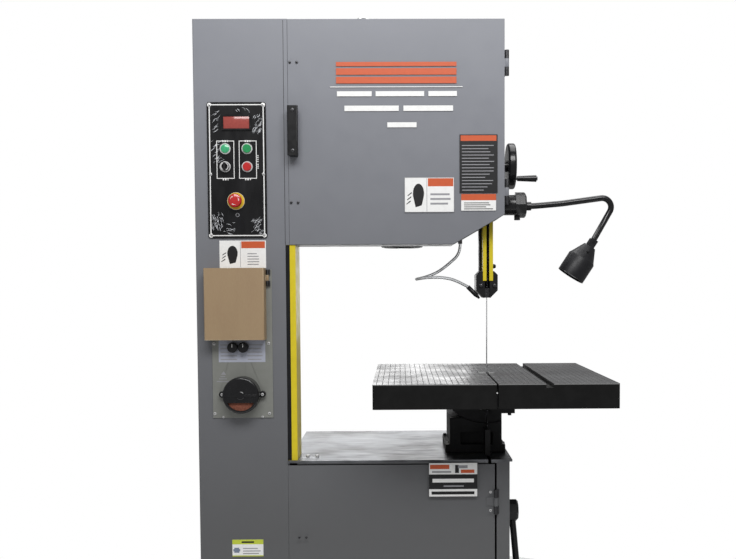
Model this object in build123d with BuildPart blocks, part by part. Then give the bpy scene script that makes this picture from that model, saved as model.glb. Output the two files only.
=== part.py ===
"""Vertical metal-cutting band saw, millimetres, +Z up.

The origin is the centre of the four floor anchor holes, on the floor.
+X runs from the column towards the blade and +Y away from the operator.
"""
import math
import os

from build123d import *

os.makedirs("parts", exist_ok=True)

# Blade, wheels and the throat between the blade and the column
throat = 508.0
blade_y = -165.0
blade_width = 25.0
blade_thick = 0.9
tyre_overhang = 2.5     # tyre beyond the blade on each side
post_clearance = 2.5    # guide post behind the tyre
tyre_thick = 5.0
return_inset = 12.0     # return blade behind the guard face
upper_wheel_z = 1625.0
lower_wheel_z = 462.0
gap = 0.3               # seat clearance between pieces on different bodies
run_gap = 0.05          # radial clearance of pins and shafts

# Column, head and base
front_y = -252.5
column_width = 234.5
guard_strip = 25.5      # column face to guard face
column_depth = 252.5
total_height = 1908.0
plate = 4.0
head_bottom = 1326.0
head_overhang = 40.0    # head side beyond the blade
arm_bottom = 1345.0
arm_wall = 5.0
chamfer_x = 134.0
chamfer_z = 77.0
base_overhang = 53.0    # base side beyond the blade
base_top = 752.0
floor_thick = 12.0
floor_margin_x = 41.0
floor_margin_y = 10.0
anchor_inset = 20.0
anchor_y = 200.0
anchor_r = 9.0
top_plate = 6.0

# Table
table_top = 980.0
table_size = 600.0
table_left = 303.0      # blade line to the left edge
table_rim = 61.0
table_thick = 25.0
rim_wall = 12.0
mitre_width = 19.0
mitre_depth = 9.5
mitre_offset = 127.0    # from the blade line
insert_r = 22.5
insert_thick = 3.0
tilt_r = 140.0

# Guide
post_side = 28.0
rack_thick = 2.7
pinion_r = 12.0
guide_rise = 110.0
handwheel_z = 1545.0
handwheel_r = 62.5

# Hinges
pin_r = 3.0
knuckle_r = 5.5
hinge_length = 66.0

# Values that follow, with the machine centred on its anchors
base_right = (column_width + guard_strip + throat + base_overhang) / 2
blade_x = base_right - base_overhang
head_right = blade_x + head_overhang
guard_face_x = blade_x - throat
column_right = guard_face_x - guard_strip
column_left = column_right - column_width
return_x = guard_face_x - return_inset
wheel_x = (blade_x + return_x) / 2
loop_r = (blade_x - return_x) / 2
wheel_r = loop_r - gap - blade_thick / 2
wheel_width = blade_width + 2 * tyre_overhang
floor_half_x = base_right + floor_margin_x
floor_half_y = -front_y + floor_margin_y
anchor_x = floor_half_x - anchor_inset
base_back = -front_y
column_back = front_y + column_depth
tyre_back = blade_y + wheel_width / 2
post_y0 = tyre_back + post_clearance
post_y1 = post_y0 + post_side
post_top = total_height - plate - guide_rise - 4
head_inner_back = post_y1 + rack_thick + gap
head_split_y = head_inner_back + plate       # wheel housing in front, arm behind
bed_z = base_top + top_plate


def block(low, high, mode=Mode.ADD):
    """Box between two opposite corners."""
    sides = [b - a for a, b in zip(low, high)]
    centre = tuple((a + b) / 2 for a, b in zip(low, high))
    with Locations(centre):
        Box(*sides, mode=mode)


def rod(start, axis, radius, length, mode=Mode.ADD):
    """Cylinder from a start point along an axis."""
    with Locations(Plane(start, z_dir=axis)):
        Cylinder(radius, length, align=(Align.CENTER, Align.CENTER, Align.MIN), mode=mode)


def save(builder, name):
    builder.part.label = name
    export_step(builder.part, f"parts/{name}.step")


X, Y, Z = (1, 0, 0), (0, 1, 0), (0, 0, 1)
FRONT = (0, -1, 0)

# ---------------------------------------------------------------- frame

with BuildPart() as floor_plate:
    block((-floor_half_x, -floor_half_y, 0), (floor_half_x, floor_half_y, floor_thick))
    with GridLocations(2 * anchor_x, 2 * anchor_y, 2, 2):
        Cylinder(anchor_r, 4 * floor_thick, mode=Mode.SUBTRACT)
save(floor_plate, "floor_plate")

panel_width = 153.0
panel_left = column_left + 35.0
panel_x = (panel_left, panel_left + panel_width)
panel_z = (1344.0, 1695.0)
face_x = (column_left + 40.0, column_left + 198.0)
face_z = (873.0, 1262.0)
cut_margin = 14.0

with BuildPart() as column_shell:
    block((column_left, front_y, floor_thick), (column_right, column_back, total_height))
    edges_out = column_shell.edges().filter_by(Axis.Z).group_by(Axis.X)[0]
    fillet(edges_out, 4)
    block((column_left + arm_wall, front_y + arm_wall, floor_thick + arm_wall),
          (column_right - arm_wall, column_back - arm_wall, total_height - arm_wall), Mode.SUBTRACT)
    for (x0, x1), (z0, z1) in ((panel_x, panel_z), (face_x, face_z)):
        block((x0 + cut_margin, front_y - 1, z0 + cut_margin),
              (x1 - cut_margin, front_y + arm_wall + 1, z1 - cut_margin), Mode.SUBTRACT)
save(column_shell, "column_shell")

post_x = base_right - 34.5
blade_slot_x = (blade_x - 4, blade_x + 4)
return_slot_x = (return_x - 9, return_x + 11)
slot_back = blade_y + blade_width / 2 + 5
door_bottom = 34.0
hub_at = (-120.0, 590.0)     # shift lever on the base side
lever_shaft_r = 10.0

with BuildPart() as base_cabinet:
    block((column_right, front_y, floor_thick), (base_right, base_back, base_top))
    block((column_right + plate, front_y + 3.5, floor_thick + plate),
          (base_right - plate, base_back - plate, base_top - plate), Mode.SUBTRACT)
    block((column_right - 1, front_y - 1, door_bottom),
          (post_x, front_y + 4.5, base_top - plate), Mode.SUBTRACT)
    for x0, x1 in (blade_slot_x, return_slot_x):
        block((max(x0, column_right + plate), front_y - 1, base_top - 2 * plate),
              (x1, slot_back, base_top + 1), Mode.SUBTRACT)
    rod((base_right - 10, *hub_at), X, lever_shaft_r + run_gap, 20, Mode.SUBTRACT)
save(base_cabinet, "base_cabinet")

with BuildPart() as base_top_plate:
    block((column_right, front_y - 3.5, base_top), (base_right + 7, base_back, bed_z))
    block((blade_slot_x[0], front_y - 10, base_top - 1), (blade_slot_x[1], slot_back, bed_z + 1),
          Mode.SUBTRACT)
    block((return_slot_x[0], blade_y - 22, base_top - 1), (return_slot_x[1], slot_back, bed_z + 1),
          Mode.SUBTRACT)
save(base_top_plate, "base_top_plate")


def head_outline(inset, left, bottom=head_bottom):
    """Front view of the head, whose lower right corner is cut off at a slant."""
    low, high, right = bottom + inset, total_height - inset, head_right - inset
    slope = math.hypot(chamfer_x, chamfer_z)
    cut_x = chamfer_x + inset * (slope - chamfer_x - chamfer_z) / chamfer_z
    cut_x -= (bottom - head_bottom) * chamfer_x / chamfer_z
    cut_z = chamfer_z * cut_x / chamfer_x
    return (left, low), (right - cut_x, low), (right, low + cut_z), (right, high), (left, high)


strip_x = column_right + 10.0
hose_x, hose_y = 288.5, -122.0
hose_r = 4.0
stub_bottom = 1332.0
post_mid_x = blade_x - 5.0
pinion_y = post_y1 + rack_thick + pinion_r

with BuildPart() as upper_wheel_housing:
    with BuildSketch(Plane.XZ.offset(-head_split_y)):
        with BuildLine():
            Polyline(*head_outline(0, column_right), close=True)
        make_face()
    extrude(amount=head_split_y - front_y)
    with BuildSketch(Plane.XZ.offset(-head_inner_back)):
        with BuildLine():
            Polyline(*head_outline(plate, column_right + plate), close=True)
        make_face()
    extrude(amount=head_inner_back - front_y - 3.5, mode=Mode.SUBTRACT)
    with BuildSketch(Plane.XZ.offset(-front_y - 3.3)):
        with Locations(((strip_x + head_right) / 2 + 5, (head_bottom + total_height) / 2)):
            Rectangle(head_right - strip_x + 10, total_height - head_bottom + 10)
    extrude(amount=5, mode=Mode.SUBTRACT)
    with BuildSketch(Plane.XZ.offset(-front_y - 8)):
        with BuildLine():
            Polyline(*head_outline(plate, strip_x), close=True)
        make_face()
    extrude(amount=10, mode=Mode.SUBTRACT)
    block((post_mid_x - 20, blade_y - 36, head_bottom - 5),
          (post_mid_x + 26, head_inner_back, head_bottom + 78), Mode.SUBTRACT)
    block((return_slot_x[0], blade_y - 20, head_bottom - 1),
          (return_slot_x[1], slot_back, head_bottom + plate + 1), Mode.SUBTRACT)
    block((wheel_x - 20, head_inner_back - 1, upper_wheel_z - 44),
          (wheel_x + 20, head_split_y + 1, upper_wheel_z + 20), Mode.SUBTRACT)
    block((post_mid_x - 10, head_inner_back - 1, handwheel_z - 14),
          (post_mid_x + 10, head_split_y + 1, handwheel_z + 14), Mode.SUBTRACT)
    rod((hose_x, hose_y, stub_bottom), Z, hose_r + 2, 14)
save(upper_wheel_housing, "upper_wheel_housing")

carriage_x = (wheel_x - 68.0, wheel_x + 68.0)
carriage_half = 50.0
tension_x, tension_y = wheel_x + 31.0, -50.0
tension_r = 60.0
screw_r = 9.0
shaft_r = 7.0

with BuildPart() as upper_arm:
    with BuildSketch(Plane.XZ.offset(-column_back)):
        with BuildLine():
            Polyline(*head_outline(0, column_right, arm_bottom), close=True)
        make_face()
    extrude(amount=column_back - head_split_y)
    with BuildSketch(Plane.XZ.offset(arm_wall - column_back)):
        with BuildLine():
            Polyline(*head_outline(arm_wall, column_right + arm_wall, arm_bottom), close=True)
        make_face()
    extrude(amount=column_back - arm_wall - head_split_y + 1, mode=Mode.SUBTRACT)
    for x0 in (carriage_x[0] - 16, carriage_x[1] + 0.2):
        block((x0, head_split_y, upper_wheel_z - 95), (x0 + 15.8, column_back, upper_wheel_z + 75))
    rod((head_right, pinion_y, handwheel_z), X, 25, 9)
    rod((head_right - 20, pinion_y, handwheel_z), X, shaft_r + run_gap, 60, Mode.SUBTRACT)
    rod((tension_x, tension_y, arm_bottom - 20), Z, screw_r + run_gap, 60, Mode.SUBTRACT)
save(upper_arm, "upper_arm")

eye_x, eye_y = (column_left + head_right) / 2 + 31.5, -60.0
with BuildPart() as lifting_eye:
    rod((eye_x, eye_y, total_height), Z, 18, 8)
    rod((eye_x, eye_y, total_height + 7), Z, 8, 14)
    with Locations(Plane((eye_x, eye_y, total_height + 36), z_dir=Y)):
        Torus(17, 6)
save(lifting_eye, "lifting_eye")

guard_y = (front_y + 3.5, blade_y + 17.0)
guard_wall = 2.0
with BuildPart() as return_blade_guard:
    block((column_right + gap, guard_y[0], bed_z), (guard_face_x, guard_y[1], head_bottom))
    block((column_right, guard_y[0] + guard_wall, bed_z - 1),
          (guard_face_x - guard_wall, guard_y[1] - guard_wall, head_bottom + 1), Mode.SUBTRACT)
save(return_blade_guard, "return_blade_guard")

# ---------------------------------------------------------------- blade and drive


def loop(radius, mode=Mode.ADD):
    """Slot outline round both wheels."""
    with Locations((wheel_x, (upper_wheel_z + lower_wheel_z) / 2)):
        SlotCenterToCenter(upper_wheel_z - lower_wheel_z, 2 * radius, rotation=90, mode=mode)


with BuildPart() as saw_blade:
    with BuildSketch(Plane.XZ.offset(-blade_y - blade_width / 2)):
        loop(loop_r + blade_thick / 2)
        loop(loop_r - blade_thick / 2, Mode.SUBTRACT)
    extrude(amount=blade_width)
save(saw_blade, "saw_blade")

spoke_holes = 6


def band_wheel(centre_z, bore_r, name):
    """Cast wheel with a rim, a web with round holes and a hub, and its rubber tyre."""
    rim_r = wheel_r - tyre_thick
    with BuildPart() as wheel:
        rod((wheel_x, tyre_back, centre_z), FRONT, rim_r, wheel_width)
        rod((wheel_x, blade_y - 5, centre_z), FRONT, rim_r - 18, wheel_width, Mode.SUBTRACT)
        rod((wheel_x, blade_y + 5, centre_z), Y, rim_r - 18, wheel_width, Mode.SUBTRACT)
        rod((wheel_x, tyre_back + 2, centre_z), FRONT, 38, wheel_width + 6)
        with Locations(Plane((wheel_x, blade_y, centre_z), z_dir=FRONT)):
            with PolarLocations(rim_r * 0.57, spoke_holes):
                Cylinder(rim_r * 0.17, 40, mode=Mode.SUBTRACT)
        rod((wheel_x, tyre_back + 20, centre_z), FRONT, bore_r, 100, Mode.SUBTRACT)
    save(wheel, name)
    with BuildPart() as tyre:
        rod((wheel_x, tyre_back, centre_z), FRONT, wheel_r, wheel_width)
        rod((wheel_x, tyre_back, centre_z), FRONT, rim_r, wheel_width, Mode.SUBTRACT)
    save(tyre, name + "_tyre")


axle_r = 15.0
drive_r = 17.0
band_wheel(upper_wheel_z, axle_r + run_gap, "upper_wheel")
band_wheel(lower_wheel_z, drive_r, "lower_wheel")

hub_back = tyre_back + 2
hub_front = tyre_back + 2 - (wheel_width + 6)
with BuildPart() as wheel_carriage:
    block((carriage_x[0], head_split_y + gap, upper_wheel_z - carriage_half),
          (carriage_x[1], tension_y + 20, upper_wheel_z + carriage_half))
    rod((wheel_x, head_split_y + 1, upper_wheel_z), FRONT, axle_r, head_split_y + 1 - hub_front + 10)
    rod((wheel_x, head_split_y + 1, upper_wheel_z), FRONT, axle_r + 4,
        head_split_y + 1 - hub_back - gap)
    rod((wheel_x, hub_front - gap, upper_wheel_z), FRONT, axle_r + 6, 6)
    rod((tension_x, tension_y, upper_wheel_z - carriage_half - 1), Z, screw_r + gap, 91, Mode.SUBTRACT)
save(wheel_carriage, "wheel_carriage")

with BuildPart() as tension_handwheel:
    with Locations(Plane((tension_x, tension_y, arm_bottom - 14), z_dir=Z)):
        Torus(tension_r - 7, 7)
        Cylinder(18, 18)
        with PolarLocations(0, 3):
            with Locations((tension_r / 2, 0, 0)):
                Box(tension_r - 8, 12, 8)
    rod((tension_x, tension_y, arm_bottom - 14), Z, screw_r, upper_wheel_z + 15 - arm_bottom + 14)
save(tension_handwheel, "tension_handwheel")

bearing_plate_y = (-115.0, -100.0)
bearing_y = (-145.0, -85.0)
with BuildPart() as lower_bearing_housing:
    block((column_right + plate, bearing_plate_y[0], lower_wheel_z - 60),
          (base_right - plate, bearing_plate_y[1], lower_wheel_z + 60))
    rod((wheel_x, bearing_y[0], lower_wheel_z), Y, 45, bearing_y[1] - bearing_y[0])
    rod((wheel_x, bearing_y[0] - 1, lower_wheel_z), Y, drive_r + run_gap, 80, Mode.SUBTRACT)
save(lower_bearing_housing, "lower_bearing_housing")

belt_y = (-80.0, -50.0)
big_pulley_r = 110.0
small_pulley_r = 35.0
motor_x, motor_z = wheel_x - 128.0, 200.0
motor_r = 75.0
belt_thick = 5.0

with BuildPart() as lower_shaft:
    rod((wheel_x, hub_front - 2, lower_wheel_z), Y, drive_r, belt_y[1] - hub_front + 6)
    rod((wheel_x, hub_front - 6, lower_wheel_z), Y, drive_r + 6, 6)
save(lower_shaft, "lower_shaft")

with BuildPart() as driven_pulley:
    rod((wheel_x, belt_y[0], lower_wheel_z), Y, big_pulley_r, belt_y[1] - belt_y[0])
    rod((wheel_x, belt_y[0] - 1, lower_wheel_z), Y, big_pulley_r - 12, 9, Mode.SUBTRACT)
    rod((wheel_x, belt_y[0], lower_wheel_z), Y, 34, 20)
    rod((wheel_x, belt_y[0] - 1, lower_wheel_z), Y, drive_r, 80, Mode.SUBTRACT)
save(driven_pulley, "driven_pulley")

with BuildPart() as motor_pulley:
    rod((motor_x, belt_y[0], motor_z), Y, small_pulley_r, belt_y[1] - belt_y[0])
    rod((motor_x, belt_y[1] - 1, motor_z), Y, 12, 41)
save(motor_pulley, "motor_pulley")

with BuildPart() as drive_belt:
    for grow, mode in ((gap + belt_thick, Mode.ADD), (gap, Mode.SUBTRACT)):
        with BuildSketch(Plane.XZ.offset(-belt_y[1] + 2)):
            with BuildLine():
                CenterArc((wheel_x, lower_wheel_z), big_pulley_r + grow, 0, 360)
                CenterArc((motor_x, motor_z), small_pulley_r + grow, 0, 360)
            make_hull()
        extrude(amount=belt_y[1] - belt_y[0] - 4, mode=mode)
save(drive_belt, "drive_belt")

motor_front = -22.0
with BuildPart() as motor:
    rod((motor_x, motor_front, motor_z), Y, motor_r, 220)
    with Locations(Plane((motor_x, motor_front + 110, motor_z), z_dir=Y)):
        with PolarLocations(motor_r, 20):
            Box(10, 3, 170)
    block((motor_x - 60, motor_front + 20, floor_thick + plate),
          (motor_x + 60, motor_front + 190, motor_z - motor_r + 20))
    rod((motor_x, motor_front - 1, motor_z), Y, 12 + run_gap, 60, Mode.SUBTRACT)
save(motor, "motor")

# ---------------------------------------------------------------- doors


def hinge_levels(low):
    """Three knuckles of one hinge: fixed, moving, fixed."""
    third = hinge_length / 3
    top = low + hinge_length
    return (low, low + third - gap), (low + third, top - third), (top - third + gap, top)


def door_knuckles(axis_x, axis_y, low, leaf_low, leaf_high):
    """Moving knuckle with its bore and the leaf that joins it to the door."""
    z0, z1 = hinge_levels(low)[1]
    block((*leaf_low, z0), (*leaf_high, z1))
    rod((axis_x, axis_y, z0), Z, knuckle_r, z1 - z0)
    rod((axis_x, axis_y, z0 - 1), Z, pin_r + run_gap, z1 - z0 + 2, Mode.SUBTRACT)


door_thick = 3.0
flange_in = 7.0
flange_thick = 3.0
lower_door_x = (column_right + 0.5, post_x - 5.0)
lower_door_z = (door_bottom + 2, base_top - 7)
lower_axis = (lower_door_x[1] + 2.5, front_y - knuckle_r - gap)
lower_hinges = (120.0, 612.0)

with BuildPart() as lower_door:
    x0, x1 = lower_door_x
    z0, z1 = lower_door_z
    block((x0, front_y, z0), (x1, front_y + door_thick, z1))
    block((x0 + flange_in, front_y + 1, z0 + flange_in), (x1 - 4, front_y + 16, z1 - flange_in))
    block((x0 + flange_in + flange_thick, front_y + door_thick, z0 + flange_in + flange_thick),
          (x1 - 4 - flange_thick, front_y + 20, z1 - flange_in - flange_thick), Mode.SUBTRACT)
    for low in lower_hinges:
        door_knuckles(*lower_axis, low, (lower_axis[0] - 25, front_y - 2), (lower_axis[0], front_y))
save(lower_door, "lower_door")

upper_door_x = (strip_x + 0.5, head_right - 0.5)
upper_axis = (head_right + 0.5 + knuckle_r, front_y + door_thick + 0.5)
upper_hinges = (1429.0, 1762.0)

with BuildPart() as upper_door:
    with BuildSketch(Plane.XZ.offset(-front_y - door_thick)):
        with BuildLine():
            Polyline(*head_outline(0.5, upper_door_x[0]), close=True)
        make_face()
    extrude(amount=door_thick)
    with BuildSketch(Plane.XZ.offset(-front_y - 14)):
        with BuildLine():
            Polyline(*head_outline(plate + 4, upper_door_x[0] + 4), close=True)
        make_face()
    extrude(amount=12)
    with BuildSketch(Plane.XZ.offset(-front_y - 15)):
        with BuildLine():
            Polyline(*head_outline(plate + 4 + flange_thick, upper_door_x[0] + 4 + flange_thick), close=True)
        make_face()
    extrude(amount=12, mode=Mode.SUBTRACT)
    for low in upper_hinges:
        door_knuckles(*upper_axis, low, (head_right - 3, front_y), (upper_axis[0], front_y + door_thick))
save(upper_door, "upper_door")

handle_right = strip_x + 28.5
handle_z = (1554.0, 1681.0)
with BuildPart() as upper_door_handle:
    block((upper_door_x[0] + 1, front_y - 34, handle_z[0]), (handle_right, front_y - 22, handle_z[1]))
    fillet(upper_door_handle.edges().filter_by(Axis.Z), 3)
    for z0 in (handle_z[0], handle_z[1] - 24):
        block((upper_door_x[0] + 3, front_y - 24, z0), (handle_right - 3, front_y, z0 + 24))
save(upper_door_handle, "upper_door_handle")

# ---------------------------------------------------------------- table

slab_low = table_top - table_thick
rim_low = table_top - table_rim
table_x = (blade_x - table_left, blade_x - table_left + table_size)
table_y = (blade_y - table_size / 2, blade_y + table_size / 2)
mitre_x = blade_x + mitre_offset

with BuildPart() as table:
    block((table_x[0], table_y[0], rim_low), (table_x[1], table_y[1], table_top))
    fillet(table.edges().filter_by(Axis.Z), 5)
    block((table_x[0] + rim_wall, table_y[0] + rim_wall, rim_low - 1),
          (table_x[1] - rim_wall, table_y[1] - rim_wall, slab_low), Mode.SUBTRACT)
    block((mitre_x - mitre_width / 2, table_y[0] - 1, table_top - mitre_depth),
          (mitre_x + mitre_width / 2, table_y[1] + 1, table_top + 1), Mode.SUBTRACT)
    block((blade_x - 2.5, table_y[0] - 1, rim_low - 1), (blade_x + 2.5, blade_y, table_top + 1),
          Mode.SUBTRACT)
    rod((blade_x, blade_y, table_top - insert_thick), Z, insert_r, 10, Mode.SUBTRACT)
    rod((blade_x, blade_y, table_top - 30), Z, insert_r - 3, 40, Mode.SUBTRACT)
    block((blade_x - 24, blade_y - 30, rim_low), (blade_x + 62, blade_y + 20, table_top - 9),
          Mode.SUBTRACT)
save(table, "table")

with BuildPart() as table_insert:
    rod((blade_x, blade_y, table_top - insert_thick), Z, insert_r - 0.1, insert_thick)
    block((blade_x - 3.5, blade_y - 30, table_top - 4),
          (blade_x + 5.5, blade_y + blade_width / 2 + 1.5, table_top + 1), Mode.SUBTRACT)
save(table_insert, "table_insert")

trunnion_y = (-144.0, 45.0)
trunnion_x = (blade_x - 100.0, blade_x + 43.0)

clamp_z = (866.0, 884.0)
clamp_reach = 79.0
clamp_y = blade_y + blade_width / 2 + 3     # clear of the blade when the table tilts

with BuildPart() as table_saddle:
    rod((blade_x, trunnion_y[0], table_top), Y, tilt_r - gap, trunnion_y[1] - trunnion_y[0])
    rod((blade_x, trunnion_y[0] - 1, table_top), Y, tilt_r - 34, trunnion_y[1] - trunnion_y[0] + 2,
        Mode.SUBTRACT)
    block((blade_x - tilt_r, trunnion_y[0] - 1, slab_low - 12),
          (blade_x + tilt_r, trunnion_y[1] + 1, table_top + tilt_r), Mode.SUBTRACT)
    block((trunnion_x[1], trunnion_y[0] - 1, rim_low - tilt_r), (table_x[1], trunnion_y[1] + 1, table_top),
          Mode.SUBTRACT)
    block((blade_x - 140, trunnion_y[0] + 2, slab_low - 14), (blade_x + 100, trunnion_y[1], slab_low))
    block((blade_x + 12, clamp_y, clamp_z[0]), (blade_x + clamp_reach, clamp_y + 18, clamp_z[1]))
    rod((blade_x + clamp_reach - 14, clamp_y + 7, clamp_z[0] - 6), Z, 5, 7)
save(table_saddle, "table_saddle")

with BuildPart() as lower_trunnion:
    block((trunnion_x[0], trunnion_y[0] - 4, bed_z), (trunnion_x[1], trunnion_y[1], bed_z + 108))
    block((trunnion_x[0] - 12, trunnion_y[0] - 4, bed_z), (trunnion_x[1] + 10, trunnion_y[1], bed_z + 21))
    rod((blade_x, trunnion_y[0] - 10, table_top), Y, tilt_r, 300, Mode.SUBTRACT)
    block((trunnion_x[0] - 1, trunnion_y[0] - 5, bed_z + 96),
          (trunnion_x[1] + 1, trunnion_y[1] + 1, bed_z + 109), Mode.SUBTRACT)
    block((trunnion_x[0] + 30, trunnion_y[0] - 5, bed_z + 22),
          (trunnion_x[1] - 26, trunnion_y[0] + 20, bed_z + 56), Mode.SUBTRACT)
save(lower_trunnion, "lower_trunnion")

lower_guard_z = 828.0
with BuildPart() as lower_blade_guard:
    block((blade_x - 7, blade_y - 32, bed_z), (blade_x + 7, blade_y - 29, lower_guard_z))
    block((blade_x - 7, blade_y - 29, bed_z), (blade_x - 4, trunnion_y[0] - 4.5, lower_guard_z))
    block((blade_x - 7, trunnion_y[0] - 5, bed_z), (blade_x - 4, trunnion_y[0] - 4, bed_z + 60))
save(lower_blade_guard, "lower_blade_guard")

# ---------------------------------------------------------------- guide

post_x0 = post_mid_x - post_side / 2
post_x1 = post_mid_x + post_side / 2
head_low, head_high = 1184.0, 1256.0
head_x = (blade_x - 30.0, blade_x + 28.0)
head_y = (blade_y - 25.0, post_y1 + 1.5)
bearing_r = 11.0
bearing_center_y = blade_y + blade_width / 2 + gap + bearing_r
bearing_z = 1232.0
slit = 6.5

with BuildPart() as guide_post:
    block((post_x0, post_y0, head_high), (post_x1, post_y1, post_top))
    block((post_mid_x - 6, post_y1 - 1, head_high + 60), (post_mid_x + 6, post_y1 + rack_thick, post_top))
save(guide_post, "guide_post")

bracket_z = (1412.0, 1480.0)
bracket_left = 10.0     # clear of the tyre when the blade is slack
bracket_right = 21.0
with BuildPart() as guide_bracket:
    block((post_x0 - bracket_left, post_y0 - 4.5, bracket_z[0]),
          (post_x1 + bracket_right, head_inner_back, bracket_z[1]))
    block((post_x0 - 0.1, post_y0 - 0.1, bracket_z[0] - 1), (post_x1 + 0.1, post_y1 + 0.1, bracket_z[1] + 1),
          Mode.SUBTRACT)
    block((post_mid_x - 6.3, post_y1 - 1, bracket_z[0] - 1),
          (post_mid_x + 6.3, head_inner_back + 1, bracket_z[1] + 1), Mode.SUBTRACT)
save(guide_bracket, "guide_bracket")

corner = 20.0
with BuildPart() as guide_head:
    with BuildSketch(Plane.XZ.offset(-head_y[1])):
        with BuildLine():
            Polyline((head_x[0], head_low + corner), (head_x[0] + corner, head_low),
                     (head_x[1] - corner, head_low), (head_x[1], head_low + corner),
                     (head_x[1], head_high - 10), (head_x[1] - 10, head_high),
                     (head_x[0] + 10, head_high), (head_x[0], head_high - 10), close=True)
        make_face()
    extrude(amount=head_y[1] - head_y[0])
    block((blade_x - slit, head_y[0] - 1, head_low - 1), (blade_x + slit, blade_y + 19, head_high + 1),
          Mode.SUBTRACT)
    block((blade_x - 4.5, blade_y + 10, bearing_z - 14), (blade_x + 4.5, head_y[1] - 8, bearing_z + 14),
          Mode.SUBTRACT)
    rod((blade_x - 14, bearing_center_y, bearing_z), X, pin_r, 28)
save(guide_head, "guide_head")

with BuildPart() as thrust_bearing:
    rod((blade_x - 4, bearing_center_y, bearing_z), X, bearing_r, 8)
    rod((blade_x - 5, bearing_center_y, bearing_z), X, pin_r + run_gap, 10, Mode.SUBTRACT)
save(thrust_bearing, "thrust_bearing")

with BuildPart() as guide_blocks:
    for side in (-1, 1):
        x0 = blade_x + side * (blade_thick / 2 + gap)
        x1 = blade_x + side * slit
        block((min(x0, x1), blade_y - 11, head_low + 2), (max(x0, x1), blade_y + 12, head_low + 26))
save(guide_blocks, "guide_blocks")

guard_low = 1230.0
guard_front = head_y[0] - 3
guard_x = (blade_x - 12.0, blade_x + 15.0)
guard_top = 1540.0
side_top = 1430.0
with BuildPart() as blade_guard:
    for x0, x1 in ((guard_x[0], blade_x - 2.5), (blade_x + 5, guard_x[1])):
        block((x0, guard_front, guard_low), (x1, head_y[0], guard_top))
    block((guard_x[1] - 2, head_y[0] - 1, head_high), (guard_x[1], post_y0 - 5, guard_top))
    block((guard_x[0], head_y[0] - 1, head_high), (guard_x[0] + 2, post_y0 - 5, side_top))
    block((guard_x[0], guard_front, guard_top - 20), (guard_x[1], head_y[0], guard_top))
save(blade_guard, "blade_guard")

nozzle_y = -182.0
nozzle_start = Vector(305.5, nozzle_y, 1214.0)
with BuildPart() as nozzle:
    with Locations(Plane(nozzle_start, z_dir=(1, 0, -1))):
        Cylinder(6, 30, align=(Align.CENTER, Align.CENTER, Align.MIN))
        with Locations((0, 0, 30)):
            Cone(6, 2.5, 14, align=(Align.CENTER, Align.CENTER, Align.MIN))
save(nozzle, "nozzle")

hose_route = [
    (hose_x, hose_y, 1331.7), (hose_x, -121, 1306), (260, -119, 1279), (230, -118, 1256), (200, -121, 1243),
    (175, -132, 1237), (165, -156, 1235), (175, -180, 1237), (200, -190, 1240), (234, -191, 1240),
    (272, -188, 1233), (305.5, nozzle_y, 1214),
]


def route_radii(points):
    """Largest tangent arc that each corner's two runs allow."""
    places = [Vector(*p) for p in points]
    radii = []
    for before, here, after in zip(places, places[1:], places[2:]):
        turn = math.radians((here - before).get_angle(after - here))
        radii.append(0.45 * min((here - before).length, (after - here).length) / math.tan(turn / 2))
    return radii


with BuildPart() as coolant_hose:
    with BuildLine() as hose_path:
        FilletPolyline(*hose_route, radius=route_radii(hose_route))
    with BuildSketch(Plane(hose_path.line @ 0, z_dir=hose_path.line % 0)):
        Circle(hose_r)
    sweep()
save(coolant_hose, "coolant_hose")
hose_length = sum(edge.length for edge in hose_path.edges())
print("hose radii", [round(r) for r in route_radii(hose_route)], "length", round(hose_length, 1),
      "volume ratio", round(coolant_hose.part.volume / (math.pi * hose_r ** 2 * hose_length), 4))

grip_y, grip_z = pinion_y - 34, handwheel_z - 37
grip_length = 52.0
wheel_x0 = head_right + 21
wheel_x1 = wheel_x0 + 22
with BuildPart() as guide_handwheel:
    rod((wheel_x0, pinion_y, handwheel_z), X, handwheel_r, wheel_x1 - wheel_x0)
    fillet(guide_handwheel.edges().filter_by(GeomType.CIRCLE), 6)
    rod((wheel_x0 + 12, pinion_y, handwheel_z), X, handwheel_r - 12, 30, Mode.SUBTRACT)
    rod((post_mid_x - 8, pinion_y, handwheel_z), X, shaft_r, wheel_x0 - post_mid_x + 20)
    rod((post_mid_x - 8, pinion_y, handwheel_z), X, pinion_r - gap, 16)
    rod((head_right + 9 + gap, pinion_y, handwheel_z), X, 16, wheel_x1 - head_right - 13)
    rod((wheel_x0 + 8, grip_y, grip_z), X, 4, grip_length + 18)
    rod((wheel_x1 + 3 + gap + grip_length, grip_y, grip_z), X, 5.5, 3)
save(guide_handwheel, "guide_handwheel")

with BuildPart() as crank_grip:
    with Locations(Plane((wheel_x1 + 3, grip_y, grip_z), z_dir=X)):
        Cone(7, 9.3, grip_length, align=(Align.CENTER, Align.CENTER, Align.MIN))
    rod((wheel_x1, grip_y, grip_z), X, 4 + run_gap, 80, Mode.SUBTRACT)
save(crank_grip, "crank_grip")

# ---------------------------------------------------------------- control panel

panel_front = front_y - 3
lamp_at = (panel_left + 47.0, 1575.0)
selector_at = (panel_left + 46.5, 1528.5)
start_at = (panel_left + 103.5, 1575.0)
stop_at = (panel_left + 103.5, 1528.5)
estop_at = (panel_left + 73.0, 1440.0)
display_x = (panel_left + 43.0, panel_left + 110.0)
display_z = (1627.0, 1658.0)
cap_r = 11.0
cap_hole = cap_r + gap
collar_r = 14.0
mushroom_r = 20.0
mushroom_neck = 10.0

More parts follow.
